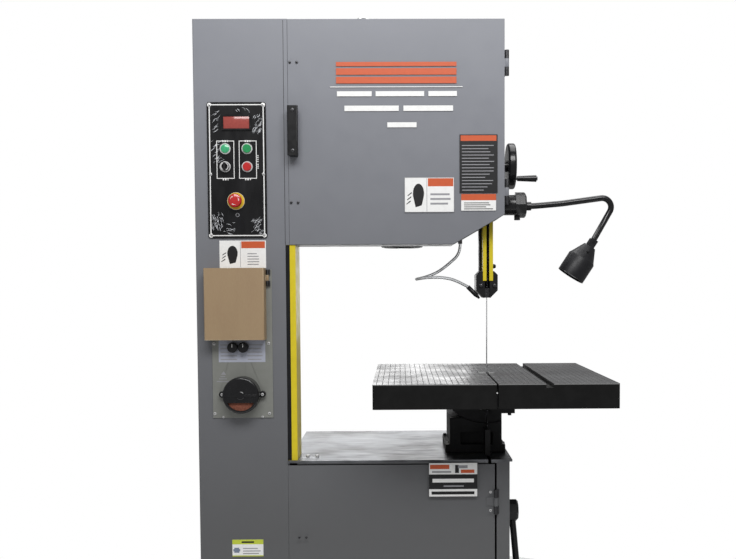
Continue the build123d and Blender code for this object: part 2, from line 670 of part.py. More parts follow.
with BuildPart() as control_panel:
    block((panel_x[0], panel_front, panel_z[0]), (panel_x[1], front_y, panel_z[1]))
    fillet(control_panel.edges().filter_by(Axis.Y), 6)
    for x, z in (lamp_at, selector_at, start_at, stop_at):
        rod((x, panel_front - 1, z), Y, cap_hole, 6, Mode.SUBTRACT)
    rod((estop_at[0], panel_front - 1, estop_at[1]), Y, mushroom_neck + gap, 6, Mode.SUBTRACT)
    block((display_x[0], panel_front - 1, display_z[0]),
          (display_x[1], front_y + 1, display_z[1]), Mode.SUBTRACT)
save(control_panel, "control_panel")

with BuildPart() as panel_lights:
    block((display_x[0], panel_front - 1.5, display_z[0]), (display_x[1], front_y + 6, display_z[1]))
    rod((lamp_at[0], panel_front - 9, lamp_at[1]), Y, cap_r + gap, 25)
save(panel_lights, "panel_lights")

with BuildPart() as button_collars:
    for (x, z), outer, inner, deep in (
            (lamp_at, collar_r, cap_hole, 4), (selector_at, collar_r, cap_hole, 4),
            (start_at, collar_r, cap_hole, 4), (stop_at, collar_r, cap_hole, 4),
            (estop_at, mushroom_r + 2.5, mushroom_neck + gap, 2.5)):
        rod((x, panel_front - deep, z), Y, outer, deep)
        rod((x, panel_front - deep - 1, z), Y, inner, deep + 2, Mode.SUBTRACT)
save(button_collars, "button_collars")


def push_cap(place, name):
    """Round push cap with its stem behind the panel."""
    with BuildPart() as cap:
        rod((place[0], panel_front - 9, place[1]), Y, cap_r, 14)
        fillet(cap.faces().sort_by(Axis.Y)[0].edges(), 1.5)
        rod((place[0], panel_front + 4, place[1]), Y, 5, 14)
    save(cap, name)


push_cap(start_at, "start_button")
push_cap(stop_at, "stop_button")

with BuildPart() as emergency_stop:
    rod((estop_at[0], panel_front - 26, estop_at[1]), Y, mushroom_r, 12)
    fillet(emergency_stop.faces().sort_by(Axis.Y)[0].edges(), 5)
    rod((estop_at[0], panel_front - 15, estop_at[1]), Y, mushroom_neck, 24)
save(emergency_stop, "emergency_stop")

with BuildPart() as selector_switch:
    rod((selector_at[0], panel_front - 7, selector_at[1]), Y, cap_r, 12)
    block((selector_at[0] - 3, panel_front - 18, selector_at[1] - 10),
          (selector_at[0] + 3, panel_front - 6, selector_at[1] + 10))
save(selector_switch, "selector_switch")

# ---------------------------------------------------------------- welder and grinder

grinder_at = (sum(face_x) / 2, 936.0)
guard_r = 47.5
ear_r = 8.5
stone_r = 40.0
stone_y = (-290.0, -272.0)
grinder_shaft_r = 8.0
knob_x = (face_x[0] + 55.0, face_x[0] + 83.0)
knob_z = 1059.0
knob_r = 13.0
jaw_z = 1170.0

with BuildPart() as welder_faceplate:
    block((face_x[0], panel_front, face_z[0]), (face_x[1], front_y, face_z[1]))
    for x in (face_x[0] + 37, face_x[0] + 77):
        block((x, panel_front - 26, jaw_z - 20), (x + 28, panel_front, jaw_z + 20))
    block((face_x[0] + 52, panel_front - 12, face_z[0] + 230), (face_x[0] + 92, panel_front, face_z[0] + 250))
    rod((grinder_at[0], panel_front - 1, grinder_at[1]), Y, grinder_shaft_r + gap, 10, Mode.SUBTRACT)
    for x in knob_x:
        rod((x, panel_front - 1, knob_z), Y, pin_r + run_gap, 10, Mode.SUBTRACT)
save(welder_faceplate, "welder_faceplate")

with BuildPart() as grinder_guard:
    rod((grinder_at[0], stone_y[0] - 6, grinder_at[1]), Y, guard_r, panel_front - stone_y[0] + 6)
    fillet(grinder_guard.faces().sort_by(Axis.Y)[0].edges(), 6)
    for side in (-1, 1):
        rod((grinder_at[0] + side * (guard_r + 5), panel_front - 12, grinder_at[1]), Y, ear_r, 12)
    rod((grinder_at[0], stone_y[0] - 2.5, grinder_at[1]), Y, guard_r - 4, 60, Mode.SUBTRACT)
    with BuildSketch(Plane.XZ.offset(8 - panel_front)):
        with Locations(grinder_at):
            Circle(guard_r - 8)
        with Locations((grinder_at[0], grinder_at[1] + guard_r - 19)):
            Rectangle(2 * guard_r, 2 * guard_r, mode=Mode.SUBTRACT)
    extrude(amount=panel_front - stone_y[0], mode=Mode.SUBTRACT)
save(grinder_guard, "grinder_guard")

with BuildPart() as grinding_wheel:
    rod((grinder_at[0], stone_y[0], grinder_at[1]), Y, stone_r, stone_y[1] - stone_y[0])
    rod((grinder_at[0], stone_y[1] - 1, grinder_at[1]), Y, 16, 8)
    rod((grinder_at[0], stone_y[1] - 1, grinder_at[1]), Y, grinder_shaft_r, 60)
save(grinding_wheel, "grinding_wheel")

with BuildPart() as grinder_motor:
    rod((grinder_at[0], front_y, grinder_at[1]), Y, 42, 130)
    rod((grinder_at[0], front_y - 1, grinder_at[1]), Y, grinder_shaft_r + run_gap, 70, Mode.SUBTRACT)
save(grinder_motor, "grinder_motor")


def weld_knob(x, name):
    """Pointer knob with its shaft through the faceplate."""
    with BuildPart() as knob:
        rod((x, panel_front - gap - 19, knob_z), Y, knob_r, 19)
        fillet(knob.faces().sort_by(Axis.Y)[0].edges(), 2)
        rod((x, panel_front - gap - 1, knob_z), Y, pin_r, 16)
    save(knob, name)


weld_knob(knob_x[0], "weld_heat_knob")
weld_knob(knob_x[1], "weld_pressure_knob")

cover_x = (face_x[0] - 12.0, face_x[1] - 15.0)
cover_z = (1080.0, 1266.0)
cover_y = (panel_front - 41, panel_front - gap)
cover_axis = (cover_x[1] + 4.5, panel_front - 4.5)
cover_pin = 2.0
cover_levels = ((1219.0, 1233.0), (1233.3, 1247.7), (1248.0, 1262.0))

with BuildPart() as welder_cover:
    block((cover_x[0], cover_y[0], cover_z[0]), (cover_x[1], cover_y[1], cover_z[1]))
    fillet(welder_cover.edges().filter_by(Axis.Z).group_by(Axis.Y)[0], 3)
    block((cover_x[0] + 1.5, cover_y[0] + 1.5, cover_z[0] - 1),
          (cover_x[1] - 1.5, cover_y[1] + 1, cover_z[1] - 1.5), Mode.SUBTRACT)
    low, high = cover_levels[1]
    block((cover_x[1] - 1, cover_axis[1] - 3, low), (cover_axis[0], cover_axis[1] - 1, high))
    rod((*cover_axis, low), Z, 3.6, high - low)
    rod((*cover_axis, low - 1), Z, cover_pin + run_gap, high - low + 2, Mode.SUBTRACT)
save(welder_cover, "welder_cover")

with BuildPart() as hinge_pins:
    for (ax, ay), lows, leaf_low, leaf_high in (
            (lower_axis, lower_hinges, (lower_axis[0], front_y - 2), (post_x + 6, front_y)),
            (upper_axis, upper_hinges, (head_right, upper_axis[1]), (head_right + 2, upper_axis[1] + 24))):
        for low in lows:
            for z0, z1 in hinge_levels(low)[::2]:
                block((*leaf_low, z0), (*leaf_high, z1))
                rod((ax, ay, z0), Z, knuckle_r, z1 - z0)
            rod((ax, ay, low), Z, pin_r, hinge_length)
    for low, high in cover_levels[::2]:
        block((cover_axis[0] - 1, cover_axis[1], low), (cover_axis[0] + 7, panel_front, high))
        rod((*cover_axis, low), Z, 3.6, high - low)
    rod((*cover_axis, cover_levels[0][0]), Z, cover_pin, cover_levels[2][1] - cover_levels[0][0])
save(hinge_pins, "hinge_pins")

# ---------------------------------------------------------------- lamp

lamp_y = -188.0
lamp_z = 1429.0
socket_x = (head_right, head_right + 63.0)
nut_x = head_right + 34.0
stem_r = 8.0
neck_r = 8.0

with BuildPart() as lamp_socket:
    rod((socket_x[0], lamp_y, lamp_z + 3), X, 27, nut_x - socket_x[0])
    with BuildSketch(Plane.YZ.offset(nut_x)):
        with Locations((lamp_y, lamp_z + 3)):
            RegularPolygon(31.5, 8, major_radius=False)
    extrude(amount=socket_x[1] - nut_x)
    chamfer(lamp_socket.faces().sort_by(Axis.X)[-1].edges(), 4)
    rod((socket_x[1] - 30, lamp_y, lamp_z), X, stem_r + run_gap, 40, Mode.SUBTRACT)
    rod((nut_x + 6, lamp_y, lamp_z - 37), Z, 8, 14)
save(lamp_socket, "lamp_socket")

tilt_at = Vector(head_right + 242.0, lamp_y, 1331.0)
head_dir = Vector(-0.547, 0, -0.837)
with BuildPart() as lamp_gooseneck:
    with BuildLine() as neck_path:
        FilletPolyline((socket_x[1] - 28, lamp_y, lamp_z), (socket_x[1] + 18, lamp_y, lamp_z),
                       (head_right + 159, lamp_y, 1435.5), (head_right + 313, lamp_y, 1456), tilt_at,
                       radius=[400, 400, 24])
    with BuildSketch(Plane(neck_path.line @ 0, z_dir=neck_path.line % 0)):
        Circle(neck_r)
    sweep()
    rod((socket_x[1] - 28, lamp_y, lamp_z), X, stem_r, 28)
    rod((socket_x[1] + gap, lamp_y, lamp_z), X, 11.5, 14)
    with Locations(Plane(tilt_at, z_dir=Y)):
        Cylinder(4, 31)
        Cylinder(9, 16)
save(lamp_gooseneck, "lamp_gooseneck")

lamp_length = 106.0
mouth_r = 38.0
with BuildPart() as lamp_head:
    with BuildSketch(Plane(tilt_at, x_dir=head_dir, z_dir=Y)):
        with BuildLine():
            Polyline((12, 0), (12, 17), (46, 34), (52, mouth_r), (lamp_length, mouth_r),
                     (lamp_length, mouth_r - 3), (50, mouth_r - 4), (42, 26), (42, 0), close=True)
        make_face()
    revolve(axis=Axis(tilt_at, head_dir))
    with Locations(Plane(tilt_at, x_dir=head_dir, z_dir=Y)):
        with Locations((6, 0, 12), (6, 0, -12)):
            Box(30, 20, 7)
        Cylinder(4 + run_gap, 60, mode=Mode.SUBTRACT)
save(lamp_head, "lamp_head")

# ---------------------------------------------------------------- shift lever, inlet and fasteners

lever_dir = Vector(0.09, 0, -1).normalized()
with BuildPart() as shift_lever:
    with BuildSketch(Plane.YZ.offset(base_right + gap)):
        with Locations(hub_at):
            RegularPolygon(28.5, 8, major_radius=False)
    extrude(amount=37)
    chamfer(shift_lever.faces().sort_by(Axis.X)[-1].edges(), 5)
    rod((base_right - 24, *hub_at), X, lever_shaft_r, 30)
    rod((base_right + 22, hub_at[0], hub_at[1] - 20), lever_dir, 9, 150)
    rod(Vector(base_right + 22, hub_at[0], hub_at[1] - 20) + 145 * lever_dir, lever_dir, 13, 70)
save(shift_lever, "shift_lever")

inlet_x, inlet_z = column_left + 110.0, 300.0
with BuildPart() as power_inlet:
    rod((inlet_x, column_back, inlet_z), Y, 16, 10)
    rod((inlet_x, column_back + 8, inlet_z), Y, 11, 22)
    rod((inlet_x, column_back + 6, inlet_z), Y, 6, 30, Mode.SUBTRACT)
save(power_inlet, "power_inlet")

screw_places = [(x, panel_front, z, 4.0) for x in (panel_x[0] + 8, panel_x[1] - 8) for z in
                (panel_z[0] + 8, sum(panel_z) / 2 - 10, panel_z[1] - 8)]
screw_places += [(x, panel_front, z, 4.0) for x in (face_x[0] + 5, face_x[1] - 10) for z in (1069.0, 884.5)]
screw_places += [(grinder_at[0] + s * (guard_r + 5), panel_front - 12, grinder_at[1], 4.0) for s in (-1, 1)]

with BuildPart() as fasteners:
    for x, y, z, head_r in screw_places:
        rod((x, y, z), FRONT, head_r, 2.4)
    for x in (trunnion_x[0] - 6, trunnion_x[1] + 5):
        for y in (trunnion_y[0] + 8, trunnion_y[1] - 12):
            rod((x, y, bed_z + 21), Z, 4.5, 5)
    for x in (column_right + 46.5, column_right + 72.5):
        rod((x, -190, bed_z), Z, 5, 4)
save(fasteners, "fasteners")
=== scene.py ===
"""Looks of the vertical metal-cutting band saw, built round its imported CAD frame. Metres, +Z up."""
import math
import random

import bmesh
import bpy
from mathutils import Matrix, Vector


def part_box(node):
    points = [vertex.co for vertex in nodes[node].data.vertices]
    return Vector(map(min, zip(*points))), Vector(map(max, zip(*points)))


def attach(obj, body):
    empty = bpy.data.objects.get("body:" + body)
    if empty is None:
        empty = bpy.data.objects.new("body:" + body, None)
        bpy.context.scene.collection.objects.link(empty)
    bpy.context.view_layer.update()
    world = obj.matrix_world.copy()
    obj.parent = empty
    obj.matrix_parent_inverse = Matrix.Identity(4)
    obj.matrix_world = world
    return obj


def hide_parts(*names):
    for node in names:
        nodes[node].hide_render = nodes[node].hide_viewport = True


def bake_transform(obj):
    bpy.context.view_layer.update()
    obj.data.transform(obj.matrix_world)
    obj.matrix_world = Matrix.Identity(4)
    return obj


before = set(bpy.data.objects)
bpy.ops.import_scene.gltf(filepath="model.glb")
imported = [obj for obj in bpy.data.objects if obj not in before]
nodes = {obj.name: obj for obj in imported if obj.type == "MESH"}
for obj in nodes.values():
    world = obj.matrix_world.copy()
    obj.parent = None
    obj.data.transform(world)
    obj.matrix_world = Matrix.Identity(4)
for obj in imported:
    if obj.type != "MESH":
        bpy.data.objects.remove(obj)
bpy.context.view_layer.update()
MM = 0.001
PRINT = 0.25 * MM  # how far print stands off its surface
MERGE_GAP = 1e-6  # vertices nearer than this are one
random.seed(7)

X, Y, Z = Vector((1, 0, 0)), Vector((0, 1, 0)), Vector((0, 0, 1))
FRONT = -Y


# ------------------------------ camera

SENSOR_WIDTH = 36.0
FOCAL_LENGTH = 47.13
CAMERA_SHIFT = (-0.0588, 0.0707)
CAMERA_PLACE = (0.1233, -2.7806, 1.2250)
CAMERA_TURN = (90 - 2.882, 0.284, -0.6545)  # degrees about X, Y and Z


def add_camera():
    data = bpy.data.cameras.new("camera")
    data.sensor_width = SENSOR_WIDTH
    data.lens = FOCAL_LENGTH
    data.shift_x, data.shift_y = CAMERA_SHIFT
    camera = bpy.data.objects.new("camera", data)
    camera.location = CAMERA_PLACE
    camera.rotation_euler = [math.radians(angle) for angle in CAMERA_TURN]
    bpy.context.scene.collection.objects.link(camera)
    bpy.context.scene.camera = camera


add_camera()


# ------------------------------ mesh helpers

def piece_of(bm, name, body, material, smooth=30):
    """Makes a piece of a bmesh, shades it by angle and lets it ride on a body."""
    bmesh.ops.recalc_face_normals(bm, faces=bm.faces)
    mesh = bpy.data.meshes.new(name)
    bm.to_mesh(mesh)
    bm.free()
    piece = bpy.data.objects.new(name, mesh)
    bpy.context.scene.collection.objects.link(piece)
    mesh.materials.append(material)
    if smooth:
        mesh.shade_smooth()
        mesh.set_sharp_from_angle(angle=math.radians(smooth))
    if body:
        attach(piece, body)
    return piece


def flat_piece(bm, name, body, material):
    """A piece of flat faces, such as print, that isn't shaded smooth."""
    return piece_of(bm, name, body, material, smooth=0)


def in_mm(*pairs):
    """Pairs of measures in millimetres, turned into metres."""
    return [(a * MM, b * MM) for a, b in pairs]


def add_box(bm, low, high, bevel=0.0, material_index=0):
    """Adds a box to a bmesh, with rounded edges if bevel is set."""
    low, high = Vector(low), Vector(high)
    verts = bmesh.ops.create_cube(bm, size=1.0)["verts"]
    for v in verts:
        v.co = (low + high) / 2 + Vector((v.co[i] * (high - low)[i] for i in range(3)))
        for f in v.link_faces:
            f.material_index = material_index
    if bevel:
        edges = dict.fromkeys(e for v in verts for e in v.link_edges)
        bmesh.ops.bevel(bm, geom=list(edges), offset=bevel, segments=2, affect="EDGES", profile=0.5)


def box_piece(name, body, material, low, high, bevel=0.6 * MM):
    bm = bmesh.new()
    add_box(bm, low, high, bevel)
    return piece_of(bm, name, body, material)


def frame_of(axis):
    """Two directions across an axis, and the axis at unit length."""
    axis = Vector(axis).normalized()
    side = Z.cross(axis) if abs(axis.z) < 0.9 else X.copy()
    side.normalize()
    return side, axis.cross(side), axis


def add_lathe(bm, origin, axis, profile, segments=48, close=True):
    """Turns (radius, height) points about an axis; close caps the open ends."""
    side, up, axis = frame_of(axis)
    origin = Vector(origin)
    rings = []
    for radius, height in profile:
        middle = origin + axis * height
        if not radius:
            rings.append([bm.verts.new(middle)])
            continue
        turns = (2 * math.pi * i / segments for i in range(segments))
        rings.append([bm.verts.new(middle + (side * math.cos(a) + up * math.sin(a)) * radius)
                      for a in turns])
    for a, b in zip(rings, rings[1:]):
        for i in range(segments):
            j = (i + 1) % segments
            if len(a) == 1:
                bm.faces.new((a[0], b[i], b[j]))
            elif len(b) == 1:
                bm.faces.new((a[i], a[j], b[0]))
            else:
                bm.faces.new((a[i], a[j], b[j], b[i]))
    if close:
        for ring in (rings[0], rings[-1]):
            if len(ring) > 1:
                bm.faces.new(ring)


def lathe_piece(name, body, material, origin, axis, profile, segments=48, close=True):
    bm = bmesh.new()
    add_lathe(bm, origin, axis, profile, segments, close)
    return piece_of(bm, name, body, material, smooth=35)


def add_prism(bm, outline, origin, u, v, depth):
    """Extrudes a flat outline, given along u and v, by the depth vector."""
    origin, u, v, depth = (Vector(t) for t in (origin, u, v, depth))
    low = [bm.verts.new(origin + u * a + v * b) for a, b in outline]
    high = [bm.verts.new(p.co + depth) for p in low]
    bm.faces.new(low)
    bm.faces.new(list(reversed(high)))
    for i in range(len(outline)):
        j = (i + 1) % len(outline)
        bm.faces.new((low[i], low[j], high[j], high[i]))


# ------------------------------ materials

GROOVE_PITCH = 14.3 * MM  # of the table's cross grooves


class Shader:
    """A principled material with a few procedural helpers."""

    def __init__(self, name, colour, rough, metal=0.0, **sockets):
        self.material = bpy.data.materials.new(name)
        self.material.use_nodes = True
        self.tree = self.material.node_tree
        self.bsdf = self.tree.nodes["Principled BSDF"]
        self.bsdf.inputs["Base Color"].default_value = (*colour, 1)
        self.bsdf.inputs["Roughness"].default_value = rough
        self.bsdf.inputs["Metallic"].default_value = metal
        for key, value in sockets.items():
            self.bsdf.inputs[key.replace("_", " ")].default_value = value
        self.material.diffuse_color = (*colour, 1)
        self.coords = self.add("ShaderNodeTexCoord").outputs["Object"]
        self.height = None

    def add(self, kind, **values):
        node = self.tree.nodes.new(kind)
        for key, value in values.items():
            setattr(node, key, value)
        return node

    def wire(self, a, b):
        self.tree.links.new(a, b)

    def mapped(self, scale):
        node = self.add("ShaderNodeMapping")
        node.inputs["Scale"].default_value = scale
        self.wire(self.coords, node.inputs["Vector"])
        return node.outputs["Vector"]

    def noise(self, scale, detail=3.0, stretch=None, rough=0.55):
        node = self.add("ShaderNodeTexNoise")
        node.inputs["Scale"].default_value = scale
        node.inputs["Detail"].default_value = detail
        node.inputs["Roughness"].default_value = rough
        self.wire(self.mapped(stretch) if stretch else self.coords, node.inputs["Vector"])
        return node.outputs["Fac"]

    def ramp(self, value, low, high, out_low=0.0, out_high=1.0):
        node = self.add("ShaderNodeMapRange")
        node.inputs["From Min"].default_value = low
        node.inputs["From Max"].default_value = high
        node.inputs["To Min"].default_value = out_low
        node.inputs["To Max"].default_value = out_high
        self.wire(value, node.inputs["Value"])
        return node.outputs["Result"]

    def math(self, operation, a, b=0.0):
        node = self.add("ShaderNodeMath", operation=operation)
        for socket, value in zip(node.inputs, (a, b)):
            if isinstance(value, (int, float)):
                socket.default_value = value
            else:
                self.wire(value, socket)
        return node.outputs["Value"]

    def times(self, a, b):
        return self.math("MULTIPLY", a, b)

    def axis_value(self, name, source=None):
        """One coordinate of the object's own place, or of another vector."""
        node = self.add("ShaderNodeSeparateXYZ")
        self.wire(source or self.coords, node.inputs["Vector"])
        return node.outputs[name]

    def mix(self, factor, colour):
        """Mixes another colour over the present base colour."""
        node = self.add("ShaderNodeMix", data_type="RGBA")
        base = self.bsdf.inputs["Base Color"]
        if base.is_linked:
            self.wire(base.links[0].from_socket, node.inputs["A"])
        else:
            node.inputs["A"].default_value = tuple(base.default_value)
        node.inputs["B"].default_value = (*colour, 1)
        self.wire(factor, node.inputs["Factor"])
        self.wire(node.outputs["Result"], base)

    def mottle(self, colour, scale, amount=0.5, low=0.4, high=0.7, stretch=None):
        """Patches of a second colour."""
        self.mix(self.ramp(self.noise(scale, 4.0, stretch), low, high, 0.0, amount), colour)

    def rough_spread(self, scale, low, high, stretch=None):
        """Roughness that varies between two values."""
        spread = self.ramp(self.noise(scale, 3.0, stretch), 0.3, 0.7, low, high)
        self.wire(spread, self.bsdf.inputs["Roughness"])

    def bump(self, value, distance, strength=1.0):
        node = self.add("ShaderNodeBump")
        node.inputs["Distance"].default_value = distance
        node.inputs["Strength"].default_value = strength
        self.wire(value, node.inputs["Height"])
        if self.height:
            self.wire(self.height, node.inputs["Normal"])
        self.height = node.outputs["Normal"]
        self.wire(self.height, self.bsdf.inputs["Normal"])

    def edge_wear_and_highlight(self, colour, radius=1.2 * MM, amount=0.6, scale=180):
        """Lighter edges, found where a rounded normal leaves the true one: rubbed wear on most
        materials, a painted highlight on the kraft sheet.
        """
        bevel = self.add("ShaderNodeBevel", samples=4)
        bevel.inputs["Radius"].default_value = radius
        geometry = self.add("ShaderNodeNewGeometry")
        dot = self.add("ShaderNodeVectorMath", operation="DOT_PRODUCT")
        self.wire(bevel.outputs["Normal"], dot.inputs[0])
        self.wire(geometry.outputs["Normal"], dot.inputs[1])
        edge = self.ramp(dot.outputs["Value"], 0.98, 0.75)
        patchy = self.ramp(self.noise(scale, 4.0), 0.45, 0.62)
        self.mix(self.times(self.times(edge, patchy), amount), colour)


def machine_enamel():
    """Blue-grey machine paint, with painted shade that darkens it towards the floor."""
    s = Shader("machine_enamel", (0.240, 0.248, 0.278), 0.34, Specular_IOR_Level=0.4)
    s.mottle((0.222, 0.230, 0.255), 3.0, 0.5)
    s.mottle((0.262, 0.270, 0.298), 9.0, 0.30, 0.5, 0.8)
    # Painted shade: the paint darkens towards the floor, standing in for light falling off lower on
    # the machine.
    painted_floor_shade = s.ramp(s.axis_value("Z"), 1.75, 0.55)
    s.mix(s.times(painted_floor_shade, 0.85), (0.098, 0.099, 0.098))
    s.rough_spread(25, 0.30, 0.42)
    s.bump(s.noise(420, 2.0), 0.10 * MM, 0.5)
    s.bump(s.noise(6, 2.0), 0.9 * MM, 0.4)
    s.edge_wear_and_highlight((0.34, 0.35, 0.38), 1.2 * MM, 0.35)
    return s.material


def table_metal(top_z):
    """Dark oiled cast iron: a glossy grooved top, near-black sides and a painted highlight on the
    front rim.
    """
    s = Shader("ground_table", (0.003, 0.003, 0.003), 0.30, Specular_IOR_Level=0.24)
    s.mottle((0.008, 0.008, 0.008), 40, 0.6)
    normal = s.add("ShaderNodeTexCoord").outputs["Normal"]
    height = s.axis_value("Z")
    top = s.times(s.ramp(s.axis_value("Z", normal), 0.85, 0.95),
                  s.ramp(height, top_z - 5 * MM, top_z - 4 * MM))
    s.mix(top, (0.070, 0.071, 0.075))
    oil = s.ramp(s.noise(5, 4.0), 0.42, 0.70)
    s.mix(s.times(oil, s.times(top, 0.6)), (0.036, 0.025, 0.022))
    # Painted highlight: a light band on the front faces just under the top edge, where the rim
    # catches the light.
    rim = s.ramp(height, top_z - 2.4 * MM, top_z - 1.6 * MM)
    front = s.ramp(s.math("ABSOLUTE", s.axis_value("Y", normal)), 0.5, 0.9)
    s.mix(s.times(rim, front), (0.24, 0.24, 0.24))
    lines = None
    for name in ("X", "Y"):
        phase = s.math("FRACT", s.math("DIVIDE", s.axis_value(name), GROOVE_PITCH))
        off_centre = s.math("ABSOLUTE", s.math("SUBTRACT", phase, 0.5))
        line = s.ramp(off_centre, 0.0, 0.09, 1.0, 0.0)
        lines = line if lines is None else s.math("MAXIMUM", lines, line)
    grooves = s.times(lines, top)
    s.mix(s.times(grooves, 0.85), (0.008, 0.008, 0.008))
    grind = s.ramp(s.noise(300, 4.0, (1.0, 0.04, 1.0)), 0.45, 0.7)
    s.mix(s.times(grind, s.times(top, 0.25)), (0.11, 0.11, 0.115))
    rough = s.ramp(s.noise(9, 4.0), 0.3, 0.7, 0.16, 0.34)
    rough = s.math("MAXIMUM", rough, s.times(s.math("SUBTRACT", 1.0, top), 0.55))
    rough = s.math("MAXIMUM", rough, s.times(grooves, 0.8))
    s.wire(rough, s.bsdf.inputs["Roughness"])
    s.bump(s.math("SUBTRACT", 1.0, grooves), 0.30 * MM, 0.8)
    s.bump(s.noise(260, 3.0), 0.05 * MM, 0.4)
    return s.material


def steel(name, colour=(0.50, 0.50, 0.50), rough=0.32, along=(1.0, 1.0, 0.05), metal=0.95,
          stain=None):
    """Brushed metal; a stain's colour lies over it in broad patches."""
    s = Shader(name, colour, rough, metal=metal)
    s.mottle(tuple(c * 0.72 for c in colour), 220, 0.5, 0.4, 0.7, along)
    s.rough_spread(180, rough - 0.06, rough + 0.12, along)
    s.bump(s.noise(500, 3.0, along), 0.05 * MM, 0.5)
    s.edge_wear_and_highlight((0.68, 0.68, 0.68), 0.8 * MM, 0.5)
    if stain:
        s.mix(s.ramp(s.noise(7.0, rough=0.5), 0.46, 0.64, 0.0, 0.85), stain)
    return s.material


def dark_plastic(name, colour=(0.007, 0.007, 0.008), rough=0.34, grain=900, gloss=0.32):
    """Near-black paint or plastic with a fine grain."""
    s = Shader(name, colour, rough, Specular_IOR_Level=gloss)
    s.mottle(tuple(c * 1.8 + 0.002 for c in colour), 30, 0.5, 0.5, 0.8)
    s.rough_spread(60, rough - 0.05, rough + 0.12)
    s.bump(s.noise(grain, 2.0), 0.04 * MM, 0.4)
    s.edge_wear_and_highlight((0.045, 0.045, 0.048), 0.7 * MM, 0.4)
    return s.material


def enamel(name, colour, rough=0.38, dirt=(0.25, 0.17, 0.03)):
    """Plain paint, a little dirty, lighter on rubbed edges."""
    s = Shader(name, colour, rough)
    s.mottle(dirt, 14, 0.28, 0.5, 0.8)
    s.mottle(tuple(c * 0.85 for c in colour), 60, 0.4)
    s.rough_spread(40, rough - 0.06, rough + 0.1)
    s.bump(s.noise(380, 2.0), 0.08 * MM, 0.5)
    s.edge_wear_and_highlight(tuple(min(1, c * 1.25 + 0.03) for c in colour), 1.0 * MM, 0.5)
    return s.material


def casting():
    """Black-painted cast iron with the sand's grain."""
    colour = (0.012, 0.012, 0.013)
    s = Shader("casting", colour, 0.58, Specular_IOR_Level=0.25)
    s.mottle(tuple(c * 1.7 for c in colour), 35, 0.5)
    s.bump(s.noise(160, 4.0), 0.5 * MM, 0.6)
    s.bump(s.noise(30, 2.0), 0.8 * MM, 0.4)
    s.edge_wear_and_highlight((0.060, 0.060, 0.060), 1.5 * MM, 0.5)
    return s.material


def rubber():
    s = Shader("rubber", (0.02, 0.02, 0.02), 0.72)
    s.mottle((0.045, 0.043, 0.040), 50, 0.5)
    s.bump(s.noise(700, 3.0), 0.12 * MM, 0.6)
    return s.material


def kraft_sheet():
    """Tan sheet guard, still in its paper, with a painted highlight along its edges."""
    s = Shader("kraft_sheet", (0.345, 0.235, 0.135), 0.52)
    s.mottle((0.375, 0.270, 0.150), 9, 0.6, stretch=(1.0, 1.0, 0.35))
    s.mottle((0.300, 0.195, 0.112), 15, 0.5, 0.5, 0.75, (1.0, 1.0, 0.25))
    s.mottle((0.42, 0.33, 0.20), 900, 0.25, stretch=(1.0, 1.0, 0.1))
    s.bump(s.noise(500, 3.0, (1.0, 1.0, 0.3)), 0.08 * MM, 0.5)
    s.bump(s.noise(10, 2.0), 0.8 * MM, 0.4)
    # Painted highlight: the sheet's edges are lightened where they catch the light.
    s.edge_wear_and_highlight((0.62, 0.57, 0.42), 3.0 * MM, 1.0, 20)
    return s.material


def foil_panel():
    """Black panel under a wrinkled protective film."""
    s = Shader("foil_panel", (0.006, 0.006, 0.007), 0.24, Specular_IOR_Level=0.35)
    folds = s.noise(16, 3.0, (1.0, 1.0, 0.22))
    s.mix(s.ramp(folds, 0.56, 0.78, 0.0, 0.06), (0.16, 0.17, 0.19))
    s.rough_spread(35, 0.20, 0.38, (1.0, 1.0, 0.3))
    s.bump(folds, 1.6 * MM, 0.5)
    s.bump(s.noise(90, 3.0, (1.0, 1.0, 0.2)), 0.2 * MM, 0.4)
    return s.material


def lens(name, colour, glow=0.0):
    """Clear-coated coloured plastic, faintly lit if glow is set."""
    s = Shader(name, colour, 0.16, Coat_Weight=0.6, Coat_Roughness=0.05)
    s.mottle(tuple(c * 0.6 for c in colour), 160, 0.5)
    s.bump(s.noise(600, 2.0), 0.03 * MM, 0.4)
    if glow:
        s.bsdf.inputs["Emission Color"].default_value = (*colour, 1)
        s.bsdf.inputs["Emission Strength"].default_value = glow
    return s.material


def print_ink(name, colour, rough=0.42):
    s = Shader(name, colour, rough)
    s.mottle(tuple(c * 0.86 for c in colour), 120, 0.4)
    s.bump(s.noise(800, 2.0), 0.02 * MM, 0.4)
    return s.material


def hose_plastic():
    s = Shader("hose_plastic", (0.60, 0.61, 0.62), 0.22, Transmission_Weight=0.55, IOR=1.25)
    s.mottle((0.50, 0.51, 0.53), 60, 0.5)
    s.bump(s.noise(300, 2.0), 0.08 * MM, 0.4)
    return s.material


def abrasive():
    s = Shader("abrasive", (0.20, 0.060, 0.034), 0.9)
    s.mottle((0.30, 0.11, 0.065), 420, 0.8, 0.45, 0.6)
    s.mottle((0.12, 0.04, 0.03), 260, 0.6, 0.5, 0.7)
    s.bump(s.noise(600, 4.0), 0.4 * MM, 0.9)
    return s.material


TABLE_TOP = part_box("table")[1].z

